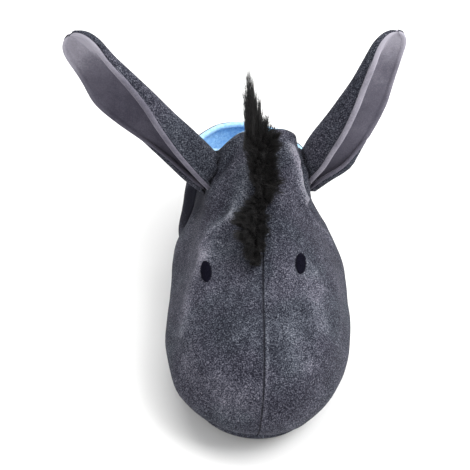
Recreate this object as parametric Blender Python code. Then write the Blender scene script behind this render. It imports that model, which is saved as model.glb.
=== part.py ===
"""Donkey slipper: a soft plush slipper whose upper is a donkey's head.

Metres, +Z up. The toe points along -Y and +X is the right-hand side of someone who faces the toe.
The origin is on the floor under the middle of the sole. Along the foot, places are distances from the
sole's toe. Across it, a section of the upper runs in columns from its seat on the sole to the crown.
"""

import math
from collections import namedtuple

import bmesh
import bpy
from mathutils import Matrix, Vector

# Sole and footbed
SOLE_LENGTH = 0.256
BALL_WIDTH = 0.106
WAIST_WIDTH = 0.092
HEEL_WIDTH = 0.084
SOLE_THICKNESS = 0.008
SOLE_EDGE_RADIUS = 0.003
TOE_SPRING = 0.004
ARCH_RISE = 0.0015
INSOLE_THICKNESS = 0.007
INSOLE_EDGE_RADIUS = 0.002

# Upper
WALL = 0.003
VAMP_LENGTH = 0.165
MUZZLE_WIDTH = 0.129
MUZZLE_HEIGHT = 0.080
FOREHEAD_WIDTH = 0.066
INSTEP_HEIGHT = 0.128
NOTCH_HEIGHT = 0.110
COLLAR_WIDTH = 0.084
HEEL_CUP_WIDTH = 0.090
HEEL_HEIGHT = 0.070
TOE_ROUND = 0.085
HEEL_ROUND = 0.046
TOE_FRONT_HEIGHT = 0.048
TOE_DOME_LENGTH = 0.046
TOE_OVERHANG = 0.013
HEEL_OVERHANG = 0.003
SEAT_INSET = 0.001
SEAM_DEPTH = 0.0012

# Collar piping
PIPING_RADIUS = 0.0021

# Ears
EAR_LENGTH = 0.120
EAR_WIDTH = 0.074
EAR_THICKNESS = 0.0038
EAR_ROOT_DEPTH = 0.014

# Mane
MANE_WIDTH = 0.018
MANE_HEIGHT = 0.014
MANE_ROOT_DEPTH = 0.003
FORELOCK_HEIGHT = 0.052
LOCK_RADIUS = 0.0036
TUFT_RADIUS = 0.0047

# Eyes
EYE_WIDTH = 0.0085
EYE_HEIGHT = 0.0140
EYE_RELIEF = 0.0012
EYE_ROOT_DEPTH = 0.0010

# Clearance between pieces that touch
GAP = 0.0003
INSOLE_CLEARANCE = 0.0009

# Bluntness of the round ends: 2 is an ellipse and more is squarer
TOE_POWER = 2.15
HEEL_POWER = 2.1
DOME_POWER = 2.2

# Mesh fineness
TOE_STATIONS = 9
VAMP_STATIONS = 9
QUARTER_STATIONS = 6
HEEL_STATIONS = 7
SEAT_TO_BELLY = 3
BELLY_TO_CHEEK = 3
CHEEK_TO_SHOULDER = 4
SLAB_EDGE_STEPS = 2
PIPING_RESOLUTION = 2
EAR_STEPS = 16
EAR_COLUMNS = 12
MANE_STEPS = 10
MANE_LOCKS = 30
LOCK_SIDES = 6
EYE_SEGMENTS = 20
MERGE = 1e-6
PROBE = 0.002
SHARP_ANGLE = math.radians(50)

HALF_LENGTH = SOLE_LENGTH / 2
MUZZLE = MUZZLE_WIDTH / 2
FOREHEAD = FOREHEAD_WIDTH / 2
COLLAR = COLLAR_WIDTH / 2
CUP = HEEL_CUP_WIDTH / 2

Section = namedtuple(
    "Section", "along belly_out belly_up cheek_out cheek_up shoulder_out shoulder_up crown_up"
)

# Sections of the outer face from the toe (along 0) to the front edge of the collar (along 1)
VAMP_SECTIONS = (
    Section(0.00, 0.98 * MUZZLE, 0.36 * MUZZLE_HEIGHT, 0.92 * MUZZLE, 0.58 * MUZZLE_HEIGHT,
            0.67 * MUZZLE, 0.84 * MUZZLE_HEIGHT, 0.97 * MUZZLE_HEIGHT),
    Section(0.34, 1.00 * MUZZLE, 0.38 * MUZZLE_HEIGHT, 0.92 * MUZZLE, 0.62 * MUZZLE_HEIGHT,
            0.66 * MUZZLE, 0.88 * MUZZLE_HEIGHT, 1.02 * MUZZLE_HEIGHT),
    Section(0.58, 0.97 * MUZZLE, 0.40 * MUZZLE_HEIGHT, 0.83 * MUZZLE, 0.70 * MUZZLE_HEIGHT,
            0.57 * MUZZLE, 1.02 * MUZZLE_HEIGHT, 1.20 * MUZZLE_HEIGHT),
    Section(0.76, 0.95 * MUZZLE, 0.26 * INSTEP_HEIGHT, 1.45 * FOREHEAD, 0.48 * INSTEP_HEIGHT,
            1.00 * FOREHEAD, 0.70 * INSTEP_HEIGHT, 0.84 * INSTEP_HEIGHT),
    Section(0.90, 0.89 * MUZZLE, 0.25 * INSTEP_HEIGHT, 1.28 * FOREHEAD, 0.54 * INSTEP_HEIGHT,
            0.94 * FOREHEAD, 0.79 * INSTEP_HEIGHT, 0.935 * INSTEP_HEIGHT),
    Section(1.00, 1.19 * CUP, 0.24 * INSTEP_HEIGHT, 1.18 * FOREHEAD, 0.58 * INSTEP_HEIGHT,
            0.90 * FOREHEAD, NOTCH_HEIGHT, INSTEP_HEIGHT),
)

# Sections from behind the front edge to the back of the heel (along 1); the shoulder is the collar's rim
QUARTER_SECTIONS = (
    Section(0.25, 1.10 * CUP, 0.28 * NOTCH_HEIGHT, 1.04 * COLLAR, 0.62 * NOTCH_HEIGHT,
            0.92 * COLLAR, 0.86 * NOTCH_HEIGHT, 1.06 * NOTCH_HEIGHT),
    Section(0.50, 1.00 * CUP, 0.40 * HEEL_HEIGHT, 1.03 * COLLAR, 0.82 * HEEL_HEIGHT,
            1.00 * COLLAR, 1.16 * HEEL_HEIGHT, 1.50 * HEEL_HEIGHT),
    Section(0.75, 0.97 * CUP, 0.40 * HEEL_HEIGHT, 1.02 * COLLAR, 0.76 * HEEL_HEIGHT,
            1.00 * COLLAR, 1.03 * HEEL_HEIGHT, 1.40 * HEEL_HEIGHT),
    Section(1.00, 0.96 * CUP, 0.40 * HEEL_HEIGHT, 1.01 * COLLAR, 0.74 * HEEL_HEIGHT,
            0.99 * COLLAR, 1.00 * HEEL_HEIGHT, 1.38 * HEEL_HEIGHT),
)

# Heights of the five section points on the upright line at the toe's front, as shares of its height
FRONT_SHARES = (0.0, 0.34, 0.58, 0.80, 1.0)

# Where the columns between shoulder and crown lie; the last two stand beside the centre seam
CROWN_SHARES = (0.22, 0.42, 0.62, 0.80, 0.93, 1.0)

# The sole's full width, along it as a share of its length
OutlineRow = namedtuple("OutlineRow", "along width")
OUTLINE = (
    OutlineRow(0.00, 0.98 * BALL_WIDTH),
    OutlineRow(0.32, 1.00 * BALL_WIDTH),
    OutlineRow(0.58, 1.00 * WAIST_WIDTH),
    OutlineRow(0.80, 1.00 * HEEL_WIDTH),
    OutlineRow(1.00, 0.99 * HEEL_WIDTH),
)

# Height of the sole's underside over the floor: toe spring, flat forefoot, arch, flat heel
FloorRow = namedtuple("FloorRow", "along lift")
FLOOR_LINE = (
    FloorRow(0.00, 1.0 * TOE_SPRING),
    FloorRow(0.05, 0.45 * TOE_SPRING),
    FloorRow(0.12, 0.0),
    FloorRow(0.54, 0.0),
    FloorRow(0.61, 1.0 * ARCH_RISE),
    FloorRow(0.69, 0.0),
    FloorRow(1.00, 0.0),
)

# An ear's sections: half its width and its depth as shares of half EAR_WIDTH, and half its arc in degrees
EarRow = namedtuple("EarRow", "along across depth curl")
EAR_ROWS = (
    EarRow(0.00, 0.17, 0.42, 118.0),
    EarRow(0.14, 0.22, 0.48, 114.0),
    EarRow(0.34, 0.46, 0.66, 100.0),
    EarRow(0.55, 0.66, 0.60, 86.0),
    EarRow(0.75, 0.71, 0.47, 76.0),
    EarRow(0.88, 0.60, 0.34, 72.0),
    EarRow(0.96, 0.40, 0.20, 68.0),
    EarRow(1.00, 0.18, 0.08, 66.0),
)
EAR_EDGE_THINNING = 0.45

# side is 1 on the right; along (a share of the vamp) and column place the root on the outer face; lean
# is outwards and back is backwards, from upright; turn swings the cup's mouth from the front to the
# outside; droop bends the tip outwards, as a share of the ear's length
EarPose = namedtuple("EarPose", "name side along column lean back turn droop")
EAR_POSES = (
    EarPose("ear_left", -1, 0.955, 9.5, 45.0, 10.0, 34.0, 0.09),
    EarPose("ear_right", 1, 0.955, 9.9, 19.0, 1.0, 50.0, 0.07),
)

# The mane's sections: along is a share of the vamp, height and width of MANE_HEIGHT and MANE_WIDTH
ManeRow = namedtuple("ManeRow", "along height width lean")
MANE_ROWS = (
    ManeRow(0.475, 0.10, 0.15, 0.0),
    ManeRow(0.53, 0.60, 0.80, 0.0),
    ManeRow(0.68, 0.90, 1.00, 0.0),
    ManeRow(0.84, 1.15, 1.00, 0.1),
    ManeRow(0.945, 1.50, 0.90, 0.3),
)

# Outline of one section of the mane, from foot to foot over the crest
ManePoint = namedtuple("ManePoint", "out rise")
MANE_OUTLINE = (
    ManePoint(-1.0, 0.0),
    ManePoint(-1.0, 0.45),
    ManePoint(-0.7, 0.80),
    ManePoint(0.0, 1.0),
    ManePoint(0.7, 0.80),
    ManePoint(1.0, 0.45),
    ManePoint(1.0, 0.0),
)

# Side locks, used by turns: where the foot and the tip lie out (of MANE_WIDTH) and up (of the mane's
# height there), and how far the tip hangs towards the toe
SideLock = namedtuple("SideLock", "foot_out foot_up tip_out tip_up forward")
SIDE_LOCKS = (
    SideLock(0.16, 0.30, 0.52, 0.55, 0.45),
    SideLock(0.16, 0.30, 0.66, 0.72, 0.40),
    SideLock(0.16, 0.30, 0.72, 0.62, 0.50),
    SideLock(0.16, 0.30, 0.58, 0.85, 0.35),
    SideLock(0.16, 0.30, 0.70, 0.50, 0.48),
)
LOCK_TIP_SHARE = 0.12

# The forelock's tall locks: foot and tip across as shares of MANE_WIDTH, height of FORELOCK_HEIGHT
Tuft = namedtuple("Tuft", "foot tip height")
TUFTS = (
    Tuft(-0.34, -0.72, 1.00),
    Tuft(-0.16, -0.40, 0.86),
    Tuft(0.06, -0.05, 0.68),
    Tuft(0.26, 0.30, 0.48),
)

# along is a share of the vamp and column counts the section's columns from the seat
EyePlace = namedtuple("EyePlace", "name side along column")
EYES = (
    EyePlace("eye_left", -1, 0.468, 10.5),
    EyePlace("eye_right", 1, 0.485, 11.9),
)

# Rings of an eye from its hidden back to its domed front: reach of its outline and share of its relief
EyeRing = namedtuple("EyeRing", "reach rise")
EYE_RINGS = (
    EyeRing(1.0, 0.45),
    EyeRing(0.72, 0.85),
    EyeRing(0.30, 1.0),
)

OUTLINE_ROWS = [(row.along * SOLE_LENGTH, row.width) for row in OUTLINE]
FLOOR_ROWS = [(row.along * SOLE_LENGTH, row.lift) for row in FLOOR_LINE]
SECTION_ROWS = [(row.along * VAMP_LENGTH, *row[1:]) for row in VAMP_SECTIONS]
SECTION_ROWS += [
    (VAMP_LENGTH + row.along * (SOLE_LENGTH - VAMP_LENGTH), *row[1:]) for row in QUARTER_SECTIONS
]

LOWER_STEPS = (SEAT_TO_BELLY, BELLY_TO_CHEEK, CHEEK_TO_SHOULDER)
RIM_COLUMN = sum(LOWER_STEPS)
CROWN_COLUMN = RIM_COLUMN + len(CROWN_SHARES)
EDGE_STATION = TOE_STATIONS + VAMP_STATIONS


# Curves and tables


def clamp(value, low=0.0, high=1.0):
    """value held between low and high."""
    return max(low, min(high, value))


def hermite(low, high, slope_low, slope_high, share):
    """Cubic between two values with a slope at each."""
    square = share * share
    cube = square * share
    return (
        (2 * cube - 3 * square + 1) * low
        + (cube - 2 * square + share) * slope_low
        + (3 * square - 2 * cube) * high
        + (cube - square) * slope_high
    )


def table_at(rows, place):
    """Values of every column but the first at a place, on a smooth curve through the rows."""
    last = len(rows) - 1
    index = 0
    while index < last - 1 and place > rows[index + 1][0]:
        index += 1
    before, low, high, after = (rows[clamp(i, 0, last)] for i in range(index - 1, index + 3))
    span = high[0] - low[0]
    share = clamp((place - low[0]) / span)
    values = []
    for column in range(1, len(low)):
        slope_low = (high[column] - before[column]) / (high[0] - before[0]) * span
        slope_high = (after[column] - low[column]) / (after[0] - low[0]) * span
        values.append(hermite(low[column], high[column], slope_low, slope_high, share))
    return values


def level_table_at(rows, place):
    """Second column at a place, eased between rows so that level stretches stay level."""
    for low, high in zip(rows, rows[1:]):
        if place <= high[0]:
            break
    share = clamp((place - low[0]) / (high[0] - low[0]))
    eased = share * share * (3 - 2 * share)
    return low[1] + (high[1] - low[1]) * eased


def round_end(distance, reach, power):
    """Rises from 0 at an end to 1 at reach, as the outline of a superellipse."""
    rest = 1 - clamp(distance / reach)
    return (1 - rest**power) ** (1 / power)


def mirrored(point):
    """The same point on the other side of the midline."""
    return Vector((-point.x, point.y, point.z))


# Form of the last


def ends_at(distance):
    """Factor that closes every width at the toe and at the heel."""
    toe = round_end(distance, TOE_ROUND, TOE_POWER)
    heel = round_end(SOLE_LENGTH - distance, HEEL_ROUND, HEEL_POWER)
    return toe * heel


def sole_half_width(distance):
    """Half width of the sole at a distance from its toe."""
    return table_at(OUTLINE_ROWS, distance)[0] / 2 * ends_at(distance)


def floor_lift(distance):
    """Height of the sole's underside above the floor."""
    return level_table_at(FLOOR_ROWS, distance)


def seat_height(distance):
    """Height of the upper's lower edge, just above the sole."""
    return floor_lift(distance) + SOLE_THICKNESS + GAP


def section_points(distance):
    """Seat, belly, cheek, shoulder and crown of the outer face as (out, up)."""
    belly_out, belly_up, cheek_out, cheek_up, shoulder_out, shoulder_up, crown_up = table_at(
        SECTION_ROWS, distance
    )
    seat_up = seat_height(distance)
    closing = ends_at(distance)
    dome = round_end(distance, TOE_DOME_LENGTH, DOME_POWER)
    points = [
        (sole_half_width(distance) - SEAT_INSET * closing, seat_up),
        (belly_out * closing, belly_up),
        (cheek_out * closing, cheek_up),
        (shoulder_out * closing, shoulder_up),
        (0.0, crown_up),
    ]
    front_rise = TOE_FRONT_HEIGHT - seat_up
    fronts = [seat_up + share * front_rise for share in FRONT_SHARES]
    return [(out, front + (up - front) * dome) for (out, up), front in zip(points, fronts)]


def overhang(distance, up):
    """How far the outer face leans out over the toe (negative) or the heel (positive) at a height."""
    rise = (up - seat_height(distance)) / (TOE_FRONT_HEIGHT / 2)
    swell = rise * math.exp(1 - rise)
    toe = clamp(1 - distance / TOE_ROUND) ** 2
    heel = clamp(1 - (SOLE_LENGTH - distance) / HEEL_ROUND) ** 2
    return swell * (HEEL_OVERHANG * heel - TOE_OVERHANG * toe)


def half_section(distance):
    """Points of one half of the outer face, from the seat to the crown with its sunk seam, x positive."""
    controls = section_points(distance)
    seat, belly, cheek, shoulder, crown = controls
    below = (2 * seat[0] - belly[0], 2 * seat[1] - belly[1])
    beyond = (-shoulder[0], shoulder[1])
    line = [below, *controls, beyond]
    shares = [[(i + 1) / steps for i in range(steps)] for steps in LOWER_STEPS] + [CROWN_SHARES]
    flat = [seat]
    for span, stops in enumerate(shares):
        before, low, high, after = line[span : span + 4]
        for share in stops:
            flat.append(tuple(
                hermite(low[k], high[k], (high[k] - before[k]) / 2, (after[k] - low[k]) / 2, share)
                for k in (0, 1)
            ))
    flat[-1] = (0.0, flat[-1][1] - SEAM_DEPTH * ends_at(distance))
    return [Vector((out, distance - HALF_LENGTH + overhang(distance, up), up)) for out, up in flat]


def stations():
    """Distances of the sections from the toe, closer together at both round ends."""
    quarter_turn = math.pi / 2
    toe = [TOE_ROUND * (1 - math.cos(quarter_turn * i / TOE_STATIONS)) for i in range(TOE_STATIONS)]
    vamp_step = (VAMP_LENGTH - TOE_ROUND) / VAMP_STATIONS
    vamp = [TOE_ROUND + vamp_step * i for i in range(VAMP_STATIONS)]
    heel_start = SOLE_LENGTH - HEEL_ROUND
    quarter_step = (heel_start - VAMP_LENGTH) / QUARTER_STATIONS
    quarter = [VAMP_LENGTH + quarter_step * i for i in range(QUARTER_STATIONS)]
    heel = [
        heel_start + HEEL_ROUND * math.sin(quarter_turn * i / HEEL_STATIONS)
        for i in range(HEEL_STATIONS + 1)
    ]
    return toe + vamp + quarter + heel


def section_grid():
    """All sections of the outer face, each from the left seat over the crown to the right seat."""
    grid = []
    for distance in stations():
        right = half_section(distance)
        left = [mirrored(point) for point in right]
        grid.append(left[:-1] + right[::-1])
    return grid


def surface_point(distance, column):
    """A point of the right outer face, at a column that may lie between two of the section's columns."""
    half = half_section(distance)
    low = int(clamp(math.floor(column), 0, CROWN_COLUMN - 1))
    return half[low].lerp(half[low + 1], column - low)


def run_along(distance, column):
    """Short step of the right outer face from toe to heel."""
    return surface_point(distance + PROBE, column) - surface_point(distance - PROBE, column)


def surface_normal(distance, column):
    """Outward unit normal of the right outer face."""
    above = surface_point(distance, min(column + 0.5, CROWN_COLUMN))
    rise = above - surface_point(distance, column - 0.5)
    return run_along(distance, column).cross(rise).normalized()


def crown_frame(distance):
    """Point of the midline on the outer face, its upright normal and its run towards the heel."""
    along = run_along(distance, CROWN_COLUMN)
    along.x = 0.0
    along.normalize()
    return surface_point(distance, CROWN_COLUMN), Vector((0.0, -along.z, along.y)), along


# Meshes and objects


def material(name, colour, roughness):
    """A plain cloth finish."""
    made = bpy.data.materials.new(name)
    made.use_nodes = True
    shader = made.node_tree.nodes["Principled BSDF"]
    shader.inputs["Base Color"].default_value = (*colour, 1.0)
    shader.inputs["Roughness"].default_value = roughness
    shader.inputs["Metallic"].default_value = 0.0
    return made


def add_object(name, data, finish):
    """Links a mesh or curve as one named object."""
    made = bpy.data.objects.new(name, data)
    bpy.context.scene.collection.objects.link(made)
    data.materials.append(finish)
    return made


def add_guide(name, mesh):
    """Links a mesh that only cuts or joins other pieces."""
    made = bpy.data.objects.new(name, mesh)
    bpy.context.scene.collection.objects.link(made)
    made.hide_render = True
    made.display_type = "WIRE"
    return made


def grid_faces(bm, rows, closed=False, wanted=None):
    """Vertices and quads of a grid of points; wanted(i, j) leaves out cells."""
    verts = [[bm.verts.new(point) for point in row] for row in rows]
    count = len(rows[0])
    for i in range(len(rows) - 1):
        for j in range(count if closed else count - 1):
            if wanted is None or wanted(i, j):
                k = (j + 1) % count
                bm.faces.new((verts[i][j], verts[i][k], verts[i + 1][k], verts[i + 1][j]))
    return verts


def capped_tube(rows):
    """Closed body through rings of points, with one face at each end."""
    bm = bmesh.new()
    verts = grid_faces(bm, rows, closed=True)
    bm.faces.new(verts[0])
    bm.faces.new(verts[-1])
    return bm


def smooth_mesh(name, bm):
    """Closes a bmesh's doubles, turns its faces outwards and keeps it as a smooth shaded mesh."""
    bmesh.ops.remove_doubles(bm, verts=bm.verts, dist=MERGE)
    bmesh.ops.dissolve_degenerate(bm, edges=bm.edges, dist=MERGE)
    bmesh.ops.recalc_face_normals(bm, faces=bm.faces)
    if bm.calc_volume(signed=True) < 0:
        bmesh.ops.reverse_faces(bm, faces=bm.faces)
    mesh = bpy.data.meshes.new(name)
    bm.to_mesh(mesh)
    bm.free()
    mesh.shade_smooth()
    mesh.set_sharp_from_angle(angle=SHARP_ANGLE)
    return mesh


def boolean(obj, name, operation, other):
    """Adds an exact Boolean with another object."""
    made = obj.modifiers.new(name, "BOOLEAN")
    made.operation = operation
    made.object = other
    return made


# Sole and insole


def outline_points(inset):
    """Points (x, y) of the right half of the sole's outline moved inwards, from toe to heel."""
    line = [Vector((sole_half_width(stop), stop - HALF_LENGTH)) for stop in stations()]
    past_toe = Vector((-line[1].x, line[1].y))
    past_heel = Vector((-line[-2].x, line[-2].y))
    padded = [past_toe, *line, past_heel]
    moved = []
    for before, point, after in zip(padded, line, padded[2:]):
        run = (after - before).normalized()
        moved.append(point + inset * Vector((-run.y, run.x)))
    return moved


def slab(name, bottom_at, thickness, inset, edge_radius, finish):
    """A pad on the sole's outline with round edges; bottom_at(distance) is its underside."""
    stops = stations()
    turns = [math.pi / 2 * k / SLAB_EDGE_STEPS for k in range(SLAB_EDGE_STEPS + 1)]
    lower = [
        (inset + edge_radius * (1 - math.sin(turn)), edge_radius * (1 - math.cos(turn))) for turn in turns
    ]
    upper = [(step, thickness - up) for step, up in reversed(lower)]
    rings = []
    for step, up in lower + upper:
        right = [
            Vector((point.x, point.y, bottom_at(stop) + up))
            for point, stop in zip(outline_points(step), stops)
        ]
        left = [mirrored(point) for point in right[1:-1]]
        rings.append(right + left[::-1])
    bm = bmesh.new()
    verts = grid_faces(bm, rings, closed=True)
    heel = len(stops) - 1
    for ring in (verts[0], verts[-1]):
        bm.faces.new((ring[0], ring[1], ring[-1]))
        for index in range(1, heel - 1):
            bm.faces.new((ring[index], ring[index + 1], ring[-index - 1], ring[-index]))
        bm.faces.new((ring[heel - 1], ring[heel], ring[heel + 1]))
    return add_object(name, smooth_mesh(name, bm), finish)


def build_sole(textile):
    """Flat textile sole with its waist, slight arch and toe spring."""
    return slab("sole", floor_lift, SOLE_THICKNESS, 0.0, SOLE_EDGE_RADIUS, textile)


def build_insole(fleece):
    """Padded footbed inside the upper's wall."""
    inset = SEAT_INSET + WALL + INSOLE_CLEARANCE
    return slab("insole", seat_height, INSOLE_THICKNESS, inset, INSOLE_EDGE_RADIUS, fleece)


# Upper and what trims the pieces sewn on it


def in_wall(station, column):
    """Whether a cell of the section grid is cloth, not the collar's opening."""
    last = 2 * CROWN_COLUMN
    beside = column < RIM_COLUMN or column >= last - RIM_COLUMN
    return station < EDGE_STATION or beside


def build_upper(cloth):
    """The head and quarters: one hollow wall, open at the collar and over the sole."""
    bm = bmesh.new()
    grid_faces(bm, section_grid(), wanted=in_wall)
    bmesh.ops.delete(bm, geom=[vert for vert in bm.verts if not vert.link_faces], context="VERTS")
    mesh = smooth_mesh("upper", bm)
    highest = max(mesh.polygons, key=lambda face: face.center.z)
    if highest.normal.z < 0:
        mesh.flip_normals()
    upper = add_object("upper", mesh, cloth)
    wall = upper.modifiers.new("wall", "SOLIDIFY")
    wall.thickness = WALL
    wall.offset = -1
    wall.use_even_offset = True
    return upper


def build_seat_cutter():
    """The filled outer face grown by the clearance; it trims whatever is sewn on the head."""
    bm = bmesh.new()
    grid_faces(bm, section_grid(), closed=True)
    mesh = smooth_mesh("seat_cutter", bm)
    grown = [vert.co + vert.normal * GAP for vert in mesh.vertices]
    for vert, place in zip(mesh.vertices, grown):
        vert.co = place
    return add_guide("seat_cutter", mesh)


# Collar piping


def rim_points(sheet):
    """The collar's rim on the right side from the crown to the heel, as (point, normal of the sheet)."""
    stops = stations()
    edge = stops[EDGE_STATION]
    places = [surface_point(edge, column) for column in range(CROWN_COLUMN, RIM_COLUMN - 1, -1)]
    places += [surface_point(distance, RIM_COLUMN) for distance in stops[EDGE_STATION + 1 :]]
    rim = [min(sheet.vertices, key=lambda vert: (vert.co - place).length_squared) for place in places]
    return [(vert.co.copy(), vert.normal.copy()) for vert in rim]


def piping_line(sheet):
    """Middle line of the piping on the right side, clear of the rim by its radius and the clearance."""
    lift = PIPING_RADIUS + GAP
    rim = rim_points(sheet)
    places = [place for place, normal in rim]
    padded = [mirrored(places[1]), *places, mirrored(places[-2])]
    line = []
    for before, (here, normal), after in zip(padded, rim, padded[2:]):
        ways = []
        for run in (here - before, after - here):
            in_sheet = run - normal * run.dot(normal)
            ways.append(normal.cross(in_sheet).normalized())
        first, second = ways
        out = (first + second) / (1 + first.dot(second))
        line.append(here - normal * WALL / 2 + out * lift)
    line[0].x = 0.0
    line[-1].x = 0.0
    return line


def build_piping(upper, fleece):
    """The rolled edge of the lining, a round bead that lies on the collar's rim."""
    right = piping_line(upper.data)
    loop = right + [mirrored(point) for point in right[-2:0:-1]]
    curve = bpy.data.curves.new("collar_piping", "CURVE")
    curve.dimensions = "3D"
    curve.bevel_depth = PIPING_RADIUS
    curve.bevel_resolution = PIPING_RESOLUTION
    spline = curve.splines.new("POLY")
    spline.points.add(len(loop) - 1)
    for target, point in zip(spline.points, loop):
        target.co = (*point, 1.0)
    spline.use_cyclic_u = True
    return add_object("collar_piping", curve, fleece)


# Ears


def ear_section(along, outward):
    """One ring of an ear: X to the cup's mouth, Y across, Z along it; outward is the way it droops."""
    across_share, depth_share, curl = table_at(EAR_ROWS, along)
    half_width = across_share * EAR_WIDTH / 2
    depth = depth_share * EAR_WIDTH / 2
    spine = outward * along * along
    spine.z += along * (EAR_LENGTH + EAR_ROOT_DEPTH) - EAR_ROOT_DEPTH
    back = []
    lining = []
    for step in range(EAR_COLUMNS + 1):
        share = 2 * step / EAR_COLUMNS - 1
        angle = share * math.radians(curl)
        middle = spine + Vector((depth * (1 - math.cos(angle)), half_width * math.sin(angle), 0.0))
        radial = Vector((-half_width * math.cos(angle), depth * math.sin(angle), 0.0)).normalized()
        reach = radial * EAR_THICKNESS / 2 * (1 - EAR_EDGE_THINNING * abs(share) ** 3)
        back.append(middle + reach)
        lining.append(middle - reach)
    return back + lining[::-1]


def ear_place(pose):
    """Matrix that stands an ear at its root on the head, leaning and turned as posed."""
    lean = math.radians(pose.lean)
    back = math.radians(pose.back)
    axis = Vector((pose.side * math.sin(lean), math.sin(back), math.cos(lean) * math.cos(back)))
    axis.normalize()
    front = Vector((0.0, -1.0, 0.0))
    front = (front - axis * front.dot(axis)).normalized()
    mouth = Matrix.Rotation(math.radians(pose.turn) * pose.side, 3, axis) @ front
    across = axis.cross(mouth)
    turn = Matrix((mouth, across, axis)).transposed()
    root = surface_point(pose.along * VAMP_LENGTH, pose.column)
    if pose.side < 0:
        root = mirrored(root)
    return Matrix.Translation(root) @ turn.to_4x4()


def build_ear(pose, cutter, cloth):
    """A cupped ear, two cloths thick, sewn to the side of the forehead and trimmed to it."""
    place = ear_place(pose)
    droop = Vector((pose.side * pose.droop * EAR_LENGTH, 0.0, 0.0))
    outward = place.to_3x3().transposed() @ droop
    bm = bmesh.new()
    rows = [ear_section(step / EAR_STEPS, outward) for step in range(EAR_STEPS + 1)]
    verts = grid_faces(bm, rows, closed=True)
    for ring in (verts[0], verts[-1]):
        for step in range(EAR_COLUMNS):
            mate = len(ring) - 1 - step
            bm.faces.new((ring[step], ring[step + 1], ring[mate - 1], ring[mate]))
    ear = add_object(pose.name, smooth_mesh(pose.name, bm), cloth)
    ear.matrix_world = place
    boolean(ear, "seat", "DIFFERENCE", cutter)
    return ear


# Mane


def mane_ring(along):
    """One section of the mane, a rounded wedge that stands on the midline."""
    height, width, lean = table_at(MANE_ROWS, along)
    here, normal, run = crown_frame(along * VAMP_LENGTH)
    up = (normal + run * lean).normalized()
    foot = here - normal * MANE_ROOT_DEPTH
    tall = height * MANE_HEIGHT + MANE_ROOT_DEPTH
    half = width * MANE_WIDTH / 2
    return [foot + Vector((point.out * half, 0.0, 0.0)) + up * point.rise * tall for point in MANE_OUTLINE]


def lock(bm, foot, tip, radius):
    """One tapered lock of fur as a closed cone."""
    run = tip - foot
    turn = run.to_track_quat("Z", "Y").to_matrix().to_4x4()
    bmesh.ops.create_cone(
        bm, cap_ends=True, cap_tris=False, segments=LOCK_SIDES, radius1=radius,
        radius2=radius * LOCK_TIP_SHARE, depth=run.length, matrix=Matrix.Translation((foot + tip) / 2) @ turn,
    )


def mane_locks():
    """Locks that fall to each side by turns along the mane, and the forelock's tall locks at the top."""
    bm = bmesh.new()
    first = MANE_ROWS[1].along
    last = MANE_ROWS[-1].along
    for index in range(MANE_LOCKS):
        along = first + (last - first) * index / (MANE_LOCKS - 1)
        height, width, lean = table_at(MANE_ROWS, along)
        here, normal, run = crown_frame(along * VAMP_LENGTH)
        side = Vector((MANE_WIDTH * width * (-1) ** index, 0.0, 0.0))
        tall = height * MANE_HEIGHT
        row = SIDE_LOCKS[index % len(SIDE_LOCKS)]
        foot = here + side * row.foot_out + normal * tall * row.foot_up
        tip = here + side * row.tip_out + (normal * row.tip_up - run * row.forward) * tall
        lock(bm, foot, tip, LOCK_RADIUS)
    here, normal, run = crown_frame(last * VAMP_LENGTH)
    for tuft in TUFTS:
        foot = here + Vector((tuft.foot * MANE_WIDTH, 0.0, 0.0)) + normal * MANE_ROOT_DEPTH
        tip = here + Vector((tuft.tip * MANE_WIDTH, 0.0, tuft.height * FORELOCK_HEIGHT))
        lock(bm, foot, tip, TUFT_RADIUS)
    return bm


def build_mane(cutter, fur):
    """The fur strip on the midline with its locks fused on, trimmed to the upper."""
    first, last = MANE_ROWS[0].along, MANE_ROWS[-1].along
    rows = [mane_ring(first + (last - first) * step / MANE_STEPS) for step in range(MANE_STEPS + 1)]
    mane = add_object("mane", smooth_mesh("mane", capped_tube(rows)), fur)
    locks = add_guide("mane_locks", smooth_mesh("mane_locks", mane_locks()))
    fuse = boolean(mane, "locks", "UNION", locks)
    fuse.use_self = True
    boolean(mane, "seat", "DIFFERENCE", cutter)
    return mane


# Eyes


def eye_ring(reach, up):
    """One oval ring of an eye, X across and Y along it."""
    turns = [2 * math.pi * step / EYE_SEGMENTS for step in range(EYE_SEGMENTS)]
    half_width = reach * EYE_WIDTH / 2
    half_height = reach * EYE_HEIGHT / 2
    return [Vector((half_width * math.cos(turn), half_height * math.sin(turn), up)) for turn in turns]


def build_eye(eye, cutter, thread):
    """A satin stitched oval, a low dome whose back follows the cloth just clear of it."""
    distance = eye.along * VAMP_LENGTH
    here = surface_point(distance, eye.column)
    normal = surface_normal(distance, eye.column)
    along = run_along(distance, eye.column)
    if eye.side < 0:
        here, normal, along = mirrored(here), mirrored(normal), mirrored(along)
    tall = (along - normal * along.dot(normal)).normalized()
    turn = Matrix((tall.cross(normal), tall, normal)).transposed()
    rings = [eye_ring(1.0, -EYE_ROOT_DEPTH)]
    rings += [eye_ring(ring.reach, GAP + ring.rise * EYE_RELIEF) for ring in EYE_RINGS]
    made = add_object(eye.name, smooth_mesh(eye.name, capped_tube(rings)), thread)
    made.matrix_world = Matrix.Translation(here) @ turn.to_4x4()
    boolean(made, "seat", "DIFFERENCE", cutter)
    return made


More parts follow.
